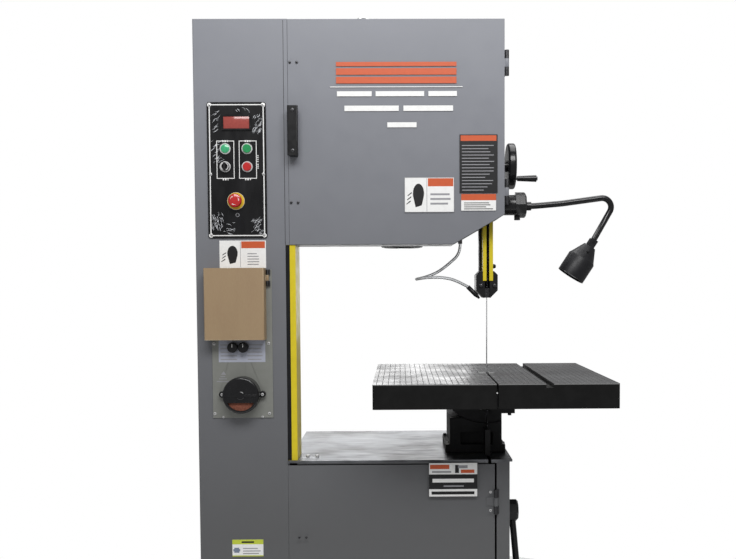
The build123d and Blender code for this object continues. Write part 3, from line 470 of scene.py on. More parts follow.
GREY = machine_enamel()
TABLE = table_metal(TABLE_TOP)
STEEL = steel("bright_steel")
PLATE_STEEL = steel("bed_plate_steel", (0.27, 0.28, 0.30), 0.34, (0.06, 1.0, 1.0),
                    stain=(0.055, 0.055, 0.058))
BLADE_STEEL = steel("blade_steel", (0.10, 0.10, 0.11), 0.35)
HINGE_STEEL = steel("hinge_steel", (0.085, 0.085, 0.09), 0.35, (1.0, 1.0, 1.0))
ZINC = steel("zinc", (0.78, 0.78, 0.78), 0.25, (1.0, 1.0, 1.0), 0.35)
BLACK = dark_plastic("satin_black")
GLOSS_BLACK = dark_plastic("gloss_black", (0.006, 0.006, 0.007), 0.16, 1500, 0.5)
HEAD_BLACK = dark_plastic("blackened_steel", (0.008, 0.008, 0.009), 0.38, 500)
YELLOW = enamel("guard_yellow", (0.76, 0.61, 0.018), 0.34, (0.50, 0.38, 0.02))
SIGNAL_YELLOW = enamel("signal_yellow", (0.80, 0.52, 0.03))
CASTING = casting()
RUBBER = rubber()
KRAFT = kraft_sheet()
FACEPLATE = enamel("faceplate_enamel", (0.235, 0.240, 0.220), 0.36, (0.19, 0.19, 0.18))
PANEL = foil_panel()
DISPLAY = lens("display_red", (0.30, 0.055, 0.045), 0.25)
GREEN = lens("green_plastic", (0.02, 0.32, 0.10))
PILOT = lens("pilot_green", (0.05, 0.40, 0.18), 0.15)
RED = lens("red_plastic", (0.56, 0.022, 0.022))
LAMP = dark_plastic("lamp_black", (0.012, 0.012, 0.014), 0.36, 700)
SOCKET = dark_plastic("lamp_socket_black", (0.009, 0.009, 0.010), 0.22, 700, 0.5)
HOSE = hose_plastic()
STONE = abrasive()
INK_WHITE = print_ink("ink_white", (0.92, 0.92, 0.91))
INK_GREY = print_ink("ink_grey", (0.32, 0.32, 0.34))
INK_BLACK = print_ink("ink_black", (0.006, 0.006, 0.007))
INK_ORANGE = print_ink("ink_orange", (0.62, 0.105, 0.030))
INK_LIME = print_ink("ink_lime", (0.58, 0.66, 0.06))
INK_SILVER = print_ink("ink_silver", (0.42, 0.44, 0.52))
INK_BLUE = print_ink("ink_blue_grey", (0.20, 0.24, 0.33))
FILM = print_ink("film_crease", (0.80, 0.82, 0.86), 0.25)
FLOOR_PAINT = print_ink("floor_paint", (0.90, 0.90, 0.90), 0.6)
DARK_SCREW = steel("dark_screw", (0.09, 0.09, 0.095), 0.3, (1.0, 1.0, 1.0))
FROST = lens("frosted_bulb", (0.62, 0.62, 0.60))
REFLECTOR = steel("reflector", (0.45, 0.45, 0.46), 0.22, (1.0, 1.0, 1.0))


# ------------------------------ CAD nodes

FINISH = {
    HINGE_STEEL: ("hinge_pins", "thrust_bearing", "guide_blocks"),
    GREY: ("column_shell", "base_cabinet", "upper_wheel_housing", "upper_arm", "lower_door",
           "upper_door", "floor_plate", "motor"),
    TABLE: ("table",),
    PLATE_STEEL: ("base_top_plate",),
    STEEL: ("table_insert", "lower_shaft", "wheel_carriage", "lifting_eye"),
    BLADE_STEEL: ("saw_blade",),
    CASTING: ("upper_wheel", "lower_wheel", "lower_bearing_housing", "table_saddle",
              "lower_trunnion", "driven_pulley", "motor_pulley", "guide_bracket"),
    RUBBER: ("upper_wheel_tyre", "lower_wheel_tyre", "drive_belt"),
    HEAD_BLACK: ("guide_head", "guide_post", "nozzle", "lower_blade_guard", "power_inlet"),
    GLOSS_BLACK: ("guide_handwheel", "tension_handwheel", "crank_grip", "lamp_gooseneck",
                  "grinder_guard"),
    BLACK: ("upper_door_handle", "weld_heat_knob", "weld_pressure_knob", "grinder_motor",
            "shift_lever", "selector_switch"),
    YELLOW: ("return_blade_guard", "blade_guard"),
    PANEL: ("control_panel",),
    DISPLAY: ("panel_lights",),
    ZINC: ("button_collars", "fasteners"),
    GREEN: ("start_button",),
    RED: ("stop_button", "emergency_stop"),
    FACEPLATE: ("welder_faceplate",),
    KRAFT: ("welder_cover",),
    STONE: ("grinding_wheel",),
    SOCKET: ("lamp_socket",),
    LAMP: ("lamp_head",),
    HOSE: ("coolant_hose",),
}

ROUNDED = {  # width of each node's rounded edges in millimetres
    "column_shell": 3.0, "base_cabinet": 1.5, "upper_wheel_housing": 1.2, "upper_arm": 1.5,
    "lower_door": 1.2, "upper_door": 1.2, "floor_plate": 1.5, "table": 1.0, "base_top_plate": 0.8,
    "return_blade_guard": 0.6, "blade_guard": 0.5, "control_panel": 0.6, "welder_faceplate": 0.6,
    "welder_cover": 4.0, "lamp_socket": 1.5, "lower_trunnion": 2.0, "table_saddle": 1.5,
    "guide_head": 1.2, "guide_bracket": 1.5, "guide_post": 0.8,
}


def paint_nodes():
    """Gives each CAD node its material, merged vertices and rounded edges."""
    for material, names in FINISH.items():
        for name in names:
            piece = nodes[name]
            piece.data.materials.clear()
            piece.data.materials.append(material)
            weld = piece.modifiers.new("weld", "WELD")
            weld.merge_threshold = MERGE_GAP
            if name in ROUNDED:
                bevel = piece.modifiers.new("rounded_edges", "BEVEL")
                bevel.width = ROUNDED[name] * MM
                bevel.segments = 2
                bevel.limit_method = "ANGLE"
                bevel.angle_limit = math.radians(50)
                bevel.use_clamp_overlap = True


paint_nodes()


# ------------------------------ hose

HOSE_DIAMETER = 8 * MM
HOSE_ROUTE = [Vector(p) * MM for p in (
    (288.5, -122, 1331.7), (288.5, -121, 1306), (260, -119, 1279), (230, -118, 1256),
    (200, -121, 1243), (175, -132, 1237), (165, -156, 1235), (175, -180, 1237),
    (200, -190, 1240), (234, -191, 1240), (272, -188, 1233), (305.5, -182, 1214),
)]


def spline_points(route):
    """Points read along the smooth line through a route's control points."""
    curve = bpy.data.curves.new("route", "CURVE")
    curve.dimensions = "3D"
    curve.resolution_u = 12
    spline = curve.splines.new("NURBS")
    spline.points.add(len(route) - 1)
    for point, place in zip(spline.points, route):
        point.co = (*place, 1)
    spline.order_u = 3
    spline.use_endpoint_u = True
    holder = bpy.data.objects.new("route", curve)
    mesh = bpy.data.meshes.new_from_object(holder)
    places = [v.co.copy() for v in mesh.vertices]
    bpy.data.objects.remove(holder)
    return places


def tube(path, radius):
    """Bmesh of a round tube along a list of points, with closed ends."""
    segments = 20
    bm = bmesh.new()
    rings = []
    normal = None
    for i, place in enumerate(path):
        ahead = path[min(i + 1, len(path) - 1)] - path[max(i - 1, 0)]
        ahead.normalize()
        if normal is None:
            normal = frame_of(ahead)[0]
        normal = (normal - ahead * normal.dot(ahead)).normalized()
        across = ahead.cross(normal)
        turns = (2 * math.pi * k / segments for k in range(segments))
        rings.append([bm.verts.new(place + (normal * math.cos(t) + across * math.sin(t)) * radius)
                      for t in turns])
    for a, b in zip(rings, rings[1:]):
        for k in range(segments):
            j = (k + 1) % segments
            bm.faces.new((a[k], a[j], b[j], b[k]))
    bm.faces.new(rings[0])
    bm.faces.new(rings[-1])
    return bm


def add_hose():
    path = spline_points(HOSE_ROUTE)
    bm = tube(path, HOSE_DIAMETER / 2)
    piece = piece_of(bm, "air_hose", None, HOSE, 60)
    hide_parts("coolant_hose")
    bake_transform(piece)


add_hose()


# ------------------------------ printed labels

PRINT_LIFT = 0.03 * MM  # each cell of a label stands a little prouder than the one before
# rows of print on the upper door: low and high edge, then the (left, right) ends of its bars
DOOR_STRIPES = ((1.786, 1.797, ((-0.040, 0.272),)),
                (1.764, 1.781, ((-0.040, 0.272),)),
                (1.742, 1.759, ((-0.040, 0.272),)))
DOOR_BARS = ((1.732, 1.734, ((-0.056, 0.288),)),
             (1.709, 1.722, ((-0.038, 0.052), (0.062, 0.188), (0.199, 0.273))),
             (1.671, 1.685, ((-0.019, 0.122), (0.134, 0.263))),
             (1.629, 1.642, ((0.092, 0.168),)))


def label(name, body, front_y, low, high, cells, base=INK_WHITE, thick=0.5 * MM):
    """A thin plate facing the operator. Cells are (x0, z0, x1, z1, ink) in shares of its size."""
    x0, z0 = low
    x1, z1 = high
    wide, tall = x1 - x0, z1 - z0
    face = front_y - thick
    bm = bmesh.new()
    inks = [base]
    add_box(bm, (x0, face, z0), (x1, front_y, z1), 0.1 * MM)
    for i, (a, b, c, d, ink) in enumerate(cells):
        if ink not in inks:
            inks.append(ink)
        add_box(bm, (x0 + a * wide, face - PRINT_LIFT * (1 + i), z0 + b * tall),
                (x0 + c * wide, face, z0 + d * tall), 0.0, inks.index(ink))
    piece = flat_piece(bm, name, body, base)
    for ink in inks[1:]:
        piece.data.materials.append(ink)


def bars(x0, x1, z_top, z_low, rows, ink, share=0.5, ragged=0.25):
    """Plain bars of uneven length, where a label has lines of print."""
    step = (z_top - z_low) / rows
    cells = []
    for i in range(rows):
        length = (x1 - x0) * (1 - ragged * random.random())
        z = z_top - step * (i + 1)
        cells.append((x0, z, x0 + length, z + step * share, ink))
    return cells


def pictogram(name, body, front_y, x0, z0, x1, z1):
    """Plain mark on a label: a rounded dark shape beside three strokes, in shares of its box."""
    w, h = x1 - x0, z1 - z0
    origin, lift = (0, front_y, 0), Y * -PRINT
    bm = bmesh.new()
    outline = [(x0 + (0.64 + 0.27 * math.cos(t)) * w, z0 + (0.54 + 0.30 * math.sin(t)) * h)
               for t in (math.radians(a) for a in range(-30, 211, 15))]
    outline += [(x0 + 0.50 * w, z0 + 0.12 * h), (x0 + 0.80 * w, z0 + 0.18 * h)]
    add_prism(bm, outline, origin, X, Z, lift)
    for k in range(3):
        px, pz = x0 + (0.06 + 0.03 * k) * w, z0 + (0.20 + 0.13 * k) * h
        stroke = [(px, pz), (px + 0.20 * w, pz + 0.09 * h), (px + 0.20 * w, pz + 0.13 * h),
                  (px, pz + 0.03 * h)]
        add_prism(bm, stroke, origin, X, Z, lift)
    flat_piece(bm, name, body, INK_BLACK)


def door_stripes(door, face):
    """Plain orange stripes and white bars on the upper door."""
    for name, ink, rows in (("door_orange_stripes", INK_ORANGE, DOOR_STRIPES),
                            ("door_white_bars", INK_WHITE, DOOR_BARS)):
        bm = bmesh.new()
        for z0, z1, spans in rows:
            for x0, x1 in spans:
                add_box(bm, (x0, face - PRINT, z0), (x1, face, z1))
        flat_piece(bm, name, door, ink)


def printed_labels():
    door, door_face = "upper_door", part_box("upper_door")[0].y
    column_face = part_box("column_shell")[0].y
    lower_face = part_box("lower_door")[0].y
    door_stripes(door, door_face)

    edges = ((0.0, 0.0, 1.0, 0.015), (0.0, 0.985, 1.0, 1.0), (0.0, 0.0, 0.01, 1.0),
             (0.99, 0.0, 1.0, 1.0))
    data = [(0.47, 0.74, 0.98, 0.97, INK_ORANGE), (0.445, 0.03, 0.455, 0.97, INK_GREY)]
    data += bars(0.52, 0.94, 0.62, 0.22, 3, INK_GREY, 0.4)
    data += [(*edge, INK_GREY) for edge in edges]
    pictogram("door_warning_mark", door, door_face - 0.5 * MM, 0.1375, 1.412, 0.1915, 1.497)
    label("door_warning_label", door, door_face, (0.1355, 1.409), (0.2655, 1.500), data)

    speeds = [(0.03, 0.89, 0.97, 0.985, INK_ORANGE)]
    speeds += bars(0.06, 0.92, 0.86, 0.04, 15, INK_GREY, 0.25, 0.35)
    label("door_speed_chart", door, door_face, (0.2795, 1.459), (0.3785, 1.610), speeds, INK_BLACK)

    small = [(0.0, 0.62, 1.0, 1.0, INK_ORANGE)] + bars(0.08, 0.92, 0.56, 0.08, 4, INK_BLACK, 0.4)
    label("door_small_label", door, door_face, (0.2835, 1.413), (0.3745, 1.456), small)

    lower = [(0.02, 0.82, 0.42, 0.95, INK_ORANGE), (0.06, 0.71, 0.46, 0.76, INK_GREY),
             (0.54, 0.70, 0.62, 0.94, INK_BLACK), (0.60, 0.84, 0.80, 0.93, INK_GREY),
             (0.66, 0.70, 0.94, 0.80, INK_ORANGE), (0.0, 0.22, 1.0, 0.66, INK_BLACK),
             (0.07, 0.42, 0.93, 0.53, INK_WHITE), (0.30, 0.29, 0.72, 0.33, INK_GREY),
             (0.05, 0.06, 0.94, 0.15, INK_BLACK)]
    label("lower_door_label", "lower_door", lower_face, (0.1965, 0.662), (0.3235, 0.751), lower)

    warning = [(0.47, 0.72, 0.98, 0.97, INK_ORANGE), (0.445, 0.04, 0.455, 0.96, INK_GREY)]
    warning += bars(0.60, 0.86, 0.60, 0.12, 5, INK_GREY, 0.35)
    pictogram("column_picture_mark", "frame", column_face - 0.5 * MM, -0.3465, 1.269,
              -0.2960, 1.335)
    label("column_picture_label", "frame", column_face, (-0.3480, 1.266), (-0.2270, 1.338), warning)

    notice = [(0.0, 0.72, 1.0, 1.0, INK_LIME), (0.30, 0.80, 0.70, 0.90, INK_BLACK),
              (0.0, 0.0, 1.0, 0.06, INK_LIME), (0.06, 0.22, 0.22, 0.52, INK_BLUE),
              (0.03, 0.30, 0.25, 0.44, INK_BLUE)]
    notice += bars(0.34, 0.94, 0.60, 0.14, 3, INK_GREY, 0.35)
    label("column_notice_label", "frame", column_face, (-0.3255, 0.503), (-0.2435, 0.548), notice)

    panel_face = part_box("control_panel")[0].y
    plate = [bar for x0, x1 in ((0.04, 0.40), (0.62, 0.97))
             for bar in bars(x0, x1, 0.92, 0.10, 5, INK_GREY, 0.3)]
    label("welder_data_plate", "frame", panel_face, (-0.3535, 1.020), (-0.2315, 1.078), plate,
          INK_SILVER, 0.3 * MM)


printed_labels()


# ------------------------------ control panel

BUTTON_FRAMES = ((-0.3515, -0.3055), (-0.2935, -0.2475))  # left and right edges
FRAME_LOW, FRAME_HIGH = 1.498, 1.596
SCALE_MARKS = (1.524, 1.529, 1.534, 1.541, 1.546, 1.551, 1.556)
BEZEL = (-0.3375, -0.2605, 1.6220, 1.6630)  # left, right, low and high edge
FILM_HOLE = (-0.340, -0.258, 1.618, 1.667)  # no crease comes into this box round the display


def frame_strips(bm, x0, x1, z0, z1, y, width, lift=PRINT):
    """Four thin strips round a rectangle."""
    for low, high in (((x0, z0), (x1, z0 + width)), ((x0, z1 - width), (x1, z1)),
                      ((x0, z0 + width), (x0 + width, z1 - width)),
                      ((x1 - width, z0 + width), (x1, z1 - width))):
        add_box(bm, (low[0], y - lift, low[1]), (high[0], y, high[1]))


def panel_details():
    """Printed frames, marks and the display bezel on the control panel."""
    low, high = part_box("control_panel")
    y = low.y
    mark = y - 0.3 * MM
    bm = bmesh.new()
    inset = 5.5 * MM
    frame_strips(bm, low.x + inset, high.x - inset, low.z + inset, high.z - inset, y, 2.6 * MM)
    for x0, x1 in BUTTON_FRAMES:
        frame_strips(bm, x0, x1, FRAME_LOW, FRAME_HIGH, y, 1.8 * MM)
        middle = (x0 + x1) / 2
        for z in (1.496, 1.5945):
            for dx, width in ((-6, 3), (0, 4), (6, 2)):
                add_box(bm, (middle + (dx - width / 2) * MM, mark, z - 2 * MM),
                        (middle + (dx + width / 2) * MM, y, z + 2.5 * MM))
    for z in SCALE_MARKS:
        add_box(bm, (-0.2465, mark, z), (-0.2425, y, z + 2 * MM))
    corner = 7 * MM
    for z in (low.z + corner, high.z - corner):
        for x in (low.x + corner, high.x - corner):
            add_lathe(bm, (x, y, z), FRONT, in_mm((0, 0), (5.4, 0), (5.4, 0.32), (0, 0.32)), 24)
    flat_piece(bm, "panel_print", "frame", INK_WHITE)

    bm = bmesh.new()
    ring = in_mm((3.6, 0), (5, 0), (5, 0.3), (3.6, 0.3))
    add_lathe(bm, (-0.299, y, 1.404), FRONT, ring, 20, close=False)
    flat_piece(bm, "panel_round_mark", "frame", INK_GREY)

    bezel = bmesh.new()
    frame_strips(bezel, *BEZEL, y, 5 * MM, 3.0 * MM)
    flat_piece(bezel, "display_bezel", "frame", GLOSS_BLACK)


def film_streaks():
    """Bright creases of the clear film still stuck on the panel, in clusters near its edges."""
    low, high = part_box("control_panel")
    left, right, bottom, top = FILM_HOLE
    y = low.y - 0.12 * MM
    margin = 9 * MM
    chance = random.Random(11)
    bm = bmesh.new()
    for edge_x, dx, edge_z, dz, spread, count, lean in (
            (low.x, 20, high.z, -52, 30, 20, 0.65), (low.x, 20, high.z, -125, 30, 12, 0.55),
            (high.x, -18, high.z, -55, 22, 20, 0.9), (low.x, 24, low.z, 42, 22, 20, 1.9),
            (high.x, -22, low.z, 26, 24, 24, 0.8), (high.x, -60, high.z, -18, 26, 12, 2.4),
            (low.x, 60, low.z, 16, 26, 10, 2.9)):
        spread *= MM
        for _ in range(2 * count):
            x = edge_x + dx * MM + chance.uniform(-1, 1) * spread * 0.7
            z = edge_z + dz * MM + chance.uniform(-1, 1) * spread
            angle = lean + chance.uniform(-0.22, 0.22)
            length = chance.uniform(4, 18) * MM
            width = chance.uniform(0.35, 1.1) * MM
            bend = chance.uniform(-0.18, 0.18)
            outline, back = [], []
            for i in range(6):
                t = i / 5
                a = angle + bend * (t - 0.5) * 6
                px = x + math.cos(a) * length * (t - 0.5)
                pz = z + math.sin(a) * length * (t - 0.5)
                w = width * math.sin(math.pi * (0.08 + 0.84 * t))
                outline.append((px - math.sin(a) * w / 2, pz + math.cos(a) * w / 2))
                back.append((px + math.sin(a) * w / 2, pz - math.cos(a) * w / 2))
            points = outline + back[::-1]
            inside = all(low.x + margin < px < high.x - margin
                         and low.z + margin < pz < high.z - margin for px, pz in points)
            display = any(left < px < right and bottom < pz < top for px, pz in points)
            if inside and not display:
                verts = [bm.verts.new((px, y, pz)) for px, pz in points]
                for i in range(5):
                    bm.faces.new((verts[i], verts[i + 1], verts[10 - i], verts[11 - i]))
    flat_piece(bm, "film_streaks", "frame", FILM)


film_streaks()
panel_details()


def panel_light_pieces():
    """Red display window and the green pilot lens."""
    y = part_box("control_panel")[0].y
    window = box_piece("display_window", "frame", DISPLAY, (-0.3325, y - 1.5 * MM, 1.627),
                       (-0.2655, y + 8 * MM, 1.658), 0.4 * MM)
    radius = 11.3 * MM
    dome = [(radius * share, height * MM) for share, height in (
        (1, 0), (1, 20), (0.94, 22), (0.7, 23.4), (0.35, 24.0), (0, 24.0))]
    pilot = lathe_piece("pilot_lens", "frame", PILOT, (-0.3285, y + 15 * MM, 1.575), FRONT, dome)
    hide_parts("panel_lights")
    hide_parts("panel_lights")
    bm = bmesh.new()
    add_lathe(bm, (-0.329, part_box("selector_switch")[0].y + 6 * MM, 1.5285), FRONT,
              in_mm((8.2, 0), (10.6, 0), (10.6, 1.2), (8.2, 1.2)), 32, close=False)
    piece_of(bm, "selector_ring", "selector_switch", ZINC)


panel_light_pieces()


def emergency_stop_pieces():
    """Red mushroom button with its turn marks, on a yellow ring."""
    low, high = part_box("emergency_stop")
    centre = (low + high) / 2
    radius = (high.x - low.x) / 2 * 0.88
    depth = 12 * MM
    cap = [(radius * 0.55, 0), (radius * 0.92, 0), (radius, 2 * MM), (radius, depth - 5 * MM),
           (radius * 0.9, depth - 1.8 * MM), (radius * 0.7, depth - 0.3 * MM),
           (radius * 0.3, depth), (0, depth)]
    back = (centre.x, low.y + depth, centre.z)
    piece = lathe_piece("stop_mushroom", "emergency_stop", RED, back, FRONT, cap)
    neck = lathe_piece("stop_mushroom_neck", "emergency_stop", BLACK, back, Y,
                       [(10 * MM, 0), (10 * MM, high.y - low.y - depth)])
    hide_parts("emergency_stop")
    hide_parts("emergency_stop")
    arrows = bmesh.new()
    r = radius * 0.62
    for k in range(3):
        for step in range(5):
            t = 2 * math.pi * k / 3 + step * 0.16
            place = Vector((centre.x + r * math.cos(t), low.y, centre.z + r * math.sin(t)))
            size = (1.1 - 0.16 * step) * MM
            add_box(arrows, place - Vector((size, 0.15 * MM, size)),
                    place + Vector((size, 0.6 * MM, size)))
    flat_piece(arrows, "stop_turn_marks", "emergency_stop", INK_WHITE)
    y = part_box("control_panel")[0].y
    ring = in_mm((11, 0), (21.8, 0), (21.8, 0.7), (11, 0.7))
    lathe_piece("stop_yellow_ring", "frame", SIGNAL_YELLOW, (centre.x, y - 2.5 * MM, centre.z),
                FRONT, ring, close=False)


emergency_stop_pieces()


# ------------------------------ screws, painted shade in gaps and seams, and bolts

def screw(bm, place, axis, radius, height, cross=True):
    """Domed screw head with a slot or a cross."""
    add_lathe(bm, place, axis, [(radius, 0), (radius, height * 0.45), (radius * 0.8, height * 0.85),
                                (radius * 0.45, height), (0, height)], 20)
    side, up, out = frame_of(axis)
    top = Vector(place) + out * height
    for direction in ((side, up) if cross else (side,)):
        across = up if direction is side else side
        corners = [top + direction * a * radius * 0.6 + across * b * radius * 0.12
                   for a, b in ((-1, -1), (1, -1), (1, 1), (-1, 1))]
        low = [bm.verts.new(c + out * 0.12 * MM) for c in corners]
        base = [bm.verts.new(c - out * 0.5 * MM) for c in corners]
        bm.faces.new(low).material_index = 1
        for i in range(4):
            bm.faces.new((low[i], low[(i + 1) % 4], base[(i + 1) % 4], base[i])).material_index = 1


def screw_group(name, body, places, axis, radius, height, material=ZINC, cross=True):
    """One piece of several alike screws, of a radius and a height in millimetres."""
    bm = bmesh.new()
    for place in places:
        screw(bm, place, axis, radius * MM, height * MM, cross)
    piece = piece_of(bm, name, body, material)
    piece.data.materials.append(INK_BLACK)


def grid(xs, ys, zs):
    """Places at every crossing of the given values."""
    return [Vector((x, y, z)) for x in xs for y in ys for z in zs]


def all_screws():
    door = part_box("upper_door")[0].y
    screw_group("upper_door_screws", "upper_door",
                grid((-0.1595, -0.1415), (door,), (1.797, 1.436)), FRONT, 3.4, 2, DARK_SCREW)
    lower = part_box("lower_door")[0].y
    screw_group("lower_door_screws", "lower_door", grid((-0.1465, -0.1285), (lower,), (0.555,)),
                FRONT, 3.6, 2, DARK_SCREW)
    screw_group("lower_hinge_screws", "lower_door",
                grid((0.3585,), (lower,), (0.673, 0.624, 0.181, 0.132)), FRONT, 3.4, 1.6)
    handle_low, handle_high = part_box("upper_door_handle")
    inset = 12 * MM
    screw_group("handle_screws", "upper_door",
                grid(((handle_low.x + handle_high.x) / 2,), (handle_low.y,),
                     (handle_low.z + inset, handle_high.z - inset)), FRONT, 5, 1.8, DARK_SCREW)
    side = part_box("column_shell")[0].x
    screw_group("column_side_bolts", "frame", grid((side,), (-0.150,), (1.304, 1.235)), -X, 6, 4,
                DARK_SCREW, cross=False)
    head_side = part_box("upper_wheel_housing")[1].x
    screw_group("head_side_screws", "frame", grid((head_side,), (-0.180,), (1.880, 1.700)), X, 4, 2)
    head_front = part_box("guide_head")[0].y
    blade_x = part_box("saw_blade")[1].x
    screw_group("guide_head_bolts", "guide",
                grid((blade_x - 0.0175, blade_x + 0.0188), (head_front,), (1.2167,)),
                FRONT, 5.5, 4.5, DARK_SCREW)
    guard_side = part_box("blade_guard")[1].x
    screw_group("guard_thumbscrew", "guide", grid((guard_side,), (-0.176,), (1.269,)), X, 6, 9,
                BLACK)


all_screws()


def fastener_pieces():
    """Domed heads in place of the plain fastener discs, on the same places."""
    bm = bmesh.new()
    bm.from_mesh(nodes["fasteners"].data)
    bmesh.ops.remove_doubles(bm, verts=bm.verts, dist=MERGE_GAP)
    seen = set()
    places = []
    for start in bm.verts:
        if start in seen:
            continue
        island, stack = [], [start]
        seen.add(start)
        while stack:
            v = stack.pop()
            island.append(v.co.copy())
            for e in v.link_edges:
                w = e.other_vert(v)
                if w not in seen:
                    seen.add(w)
                    stack.append(w)
        low = Vector((min(c[i] for c in island) for i in range(3)))
        high = Vector((max(c[i] for c in island) for i in range(3)))
        places.append((low, high))
    bm.free()
    heads = bmesh.new()
    for low, high in places:
        size = high - low
        middle = (low + high) / 2
        if size.y < size.z:
            screw(heads, Vector((middle.x, high.y, middle.z)), FRONT, size.x / 2, size.y)
        else:
            radius, height = size.x / 2, size.z
            hexagon = [(radius, 0), (radius, height * 0.8), (radius * 0.85, height), (0, height)]
            add_lathe(heads, Vector((middle.x, middle.y, low.z)), Z, hexagon, 6)
    piece = piece_of(heads, "fastener_heads", "frame", ZINC)
    piece.data.materials.append(INK_BLACK)
    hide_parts("fasteners")


fastener_pieces()


def paint_gap_shade():
    """Painted shade: dark strips standing for the shadow in the gap beside the return guard and in
    the folded seam of the column front.
    """
    guard_low, guard_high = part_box("return_blade_guard")
    column_low, column_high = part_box("column_shell")
    head_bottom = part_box("upper_wheel_housing")[0].z
    bm = bmesh.new()
    # painted shadow in the gap between the column and the return guard
    add_box(bm, (guard_low.x - 0.2 * MM, guard_low.y - 0.6 * MM, guard_low.z + 1 * MM),
            (guard_low.x + 10 * MM, guard_low.y + 0.5 * MM, guard_high.z - 1 * MM), 0.1 * MM)
    # painted shade in the folded seam of the column front
    add_box(bm, (column_high.x - 0.9 * MM, column_low.y - 0.15 * MM, head_bottom),
            (column_high.x + 0.3 * MM, column_low.y + 0.5 * MM, column_high.z - 3 * MM))
    flat_piece(bm, "painted_gap_shade", "frame", BLACK)


paint_gap_shade()


def table_and_trunnion_details():
    """Bar that bridges the table slot behind its front rim, and the trunnion's foot bolts."""
    table_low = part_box("table")[0]
    blade_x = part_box("saw_blade")[1].x
    bm = bmesh.new()
    add_box(bm, (blade_x - 16 * MM, table_low.y + 12.2 * MM, table_low.z + 2 * MM),
            (blade_x + 16 * MM, table_low.y + 20 * MM, table_low.z + 36 * MM), 1 * MM)
    for dx in (-10, 10):
        add_lathe(bm, (blade_x + dx * MM, table_low.y + 20 * MM, table_low.z + 18 * MM), Y,
                  in_mm((4, 0), (4, 3), (3, 4), (0, 4)), 6)
    piece_of(bm, "slot_bar", "table", CASTING)
    foot_low, foot_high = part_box("lower_trunnion")
    bm = bmesh.new()
    washer_and_head = in_mm((5.4, 0), (5.4, 1), (4.4, 1), (4.4, 5), (3.6, 6), (0, 6))
    for x in (foot_low.x + 6 * MM, foot_high.x - 5 * MM):
        for y in (foot_low.y + 16 * MM, foot_high.y - 16 * MM):
            add_lathe(bm, (x, y, foot_low.z + 21 * MM), Z, washer_and_head, 6)
    piece_of(bm, "trunnion_foot_bolts", "frame", DARK_SCREW)


table_and_trunnion_details()


# ------------------------------ blade

HALF_BAND = 0.45 * MM  # half the band's thickness
TOOTH_PITCH = 6.35 * MM
GULLET = 2.4 * MM
TOOTH_ROOT = 6 * MM  # from the teeth's tips to the plain part of the band


def add_blade():
    """Endless blade with its row of teeth, along the same loop as the CAD band."""
    low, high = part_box("saw_blade")
    radius = (high.x - low.x) / 2
    x = (high.x + low.x) / 2
    upper, lower = high.z - radius, low.z + radius
    centre_r = radius - HALF_BAND
    straight = upper - lower
    arc = math.pi * centre_r
    total = 2 * straight + 2 * arc
    steps = int(total / TOOTH_PITCH) * 2

    def place(s):
        """Point of the loop at a length along it, and the way out from there."""
        if s < straight:
            return Vector((x + centre_r, 0, lower + s)), X
        s -= straight
        if s < arc:
            a = s / centre_r
            out = Vector((math.cos(a), 0, math.sin(a)))
            return Vector((x, 0, upper)) + out * centre_r, out
        s -= arc
        if s < straight:
            return Vector((x - centre_r, 0, upper - s)), -X
        a = math.pi + (s - straight) / centre_r
        out = Vector((math.cos(a), 0, math.sin(a)))
        return Vector((x, 0, lower)) + out * centre_r, out

    bm = bmesh.new()
    rows = []
    for i in range(steps):
        where, out = place(total * i / steps)
        tip = low.y if i % 2 == 0 else low.y + GULLET
        half = out * HALF_BAND
        rows.append([bm.verts.new(Vector((where.x, y, where.z)) + side * half)
                     for side in (-1, 1) for y in (tip, low.y + TOOTH_ROOT, high.y)])
    for a, b in zip(rows, rows[1:] + rows[:1]):
        for p, q in ((0, 1), (1, 2), (2, 5), (5, 4), (4, 3), (3, 0)):
            bm.faces.new((a[p], a[q], b[q], b[p]))
    piece = piece_of(bm, "toothed_blade", "frame", BLADE_STEEL, 40)
    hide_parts("saw_blade")


add_blade()


# ------------------------------ lamp, grinder, knobs

LAMP_TILT = Vector((0.6395, -0.188, 1.331))
LAMP_AXIS = Vector((-0.547, 0, -0.837)).normalized()


def lamp_pieces():
    """Ribs, bulb, reflector and switch, placed along the lamp head's axis from its tilt pin."""
    body = "lamp_head"
    bm = bmesh.new()
    rib = in_mm((37.2, 0), (38.0, 1), (38.0, 4), (37.2, 5))
    for k in range(5):
        s = (58 + 8.5 * k) * MM
        add_lathe(bm, LAMP_TILT + LAMP_AXIS * s, LAMP_AXIS, rib, 64, close=False)
    piece_of(bm, "lamp_ribs", body, LAMP)
    mouth = LAMP_TILT + LAMP_AXIS * 43 * MM
    bulb = in_mm((0, 0), (9, 0), (10, 10), (14, 20), (19, 30), (20, 38), (17, 46), (9, 51), (0, 52))
    lathe_piece("lamp_bulb", body, FROST, mouth, LAMP_AXIS, bulb)
    reflector = in_mm((33, 58), (30, 52), (22, 2), (9, 0.5))
    lathe_piece("lamp_reflector", body, REFLECTOR, mouth, LAMP_AXIS, reflector, 64, close=False)
    switch = in_mm((4, -6), (4, 3), (2.5, 4), (2.2, 9), (0, 9.6))
    side = LAMP_TILT + LAMP_AXIS * 30 * MM + Vector((0, -0.024, 0))
    lathe_piece("lamp_switch", body, BLACK, side, FRONT, switch, 20)


lamp_pieces()


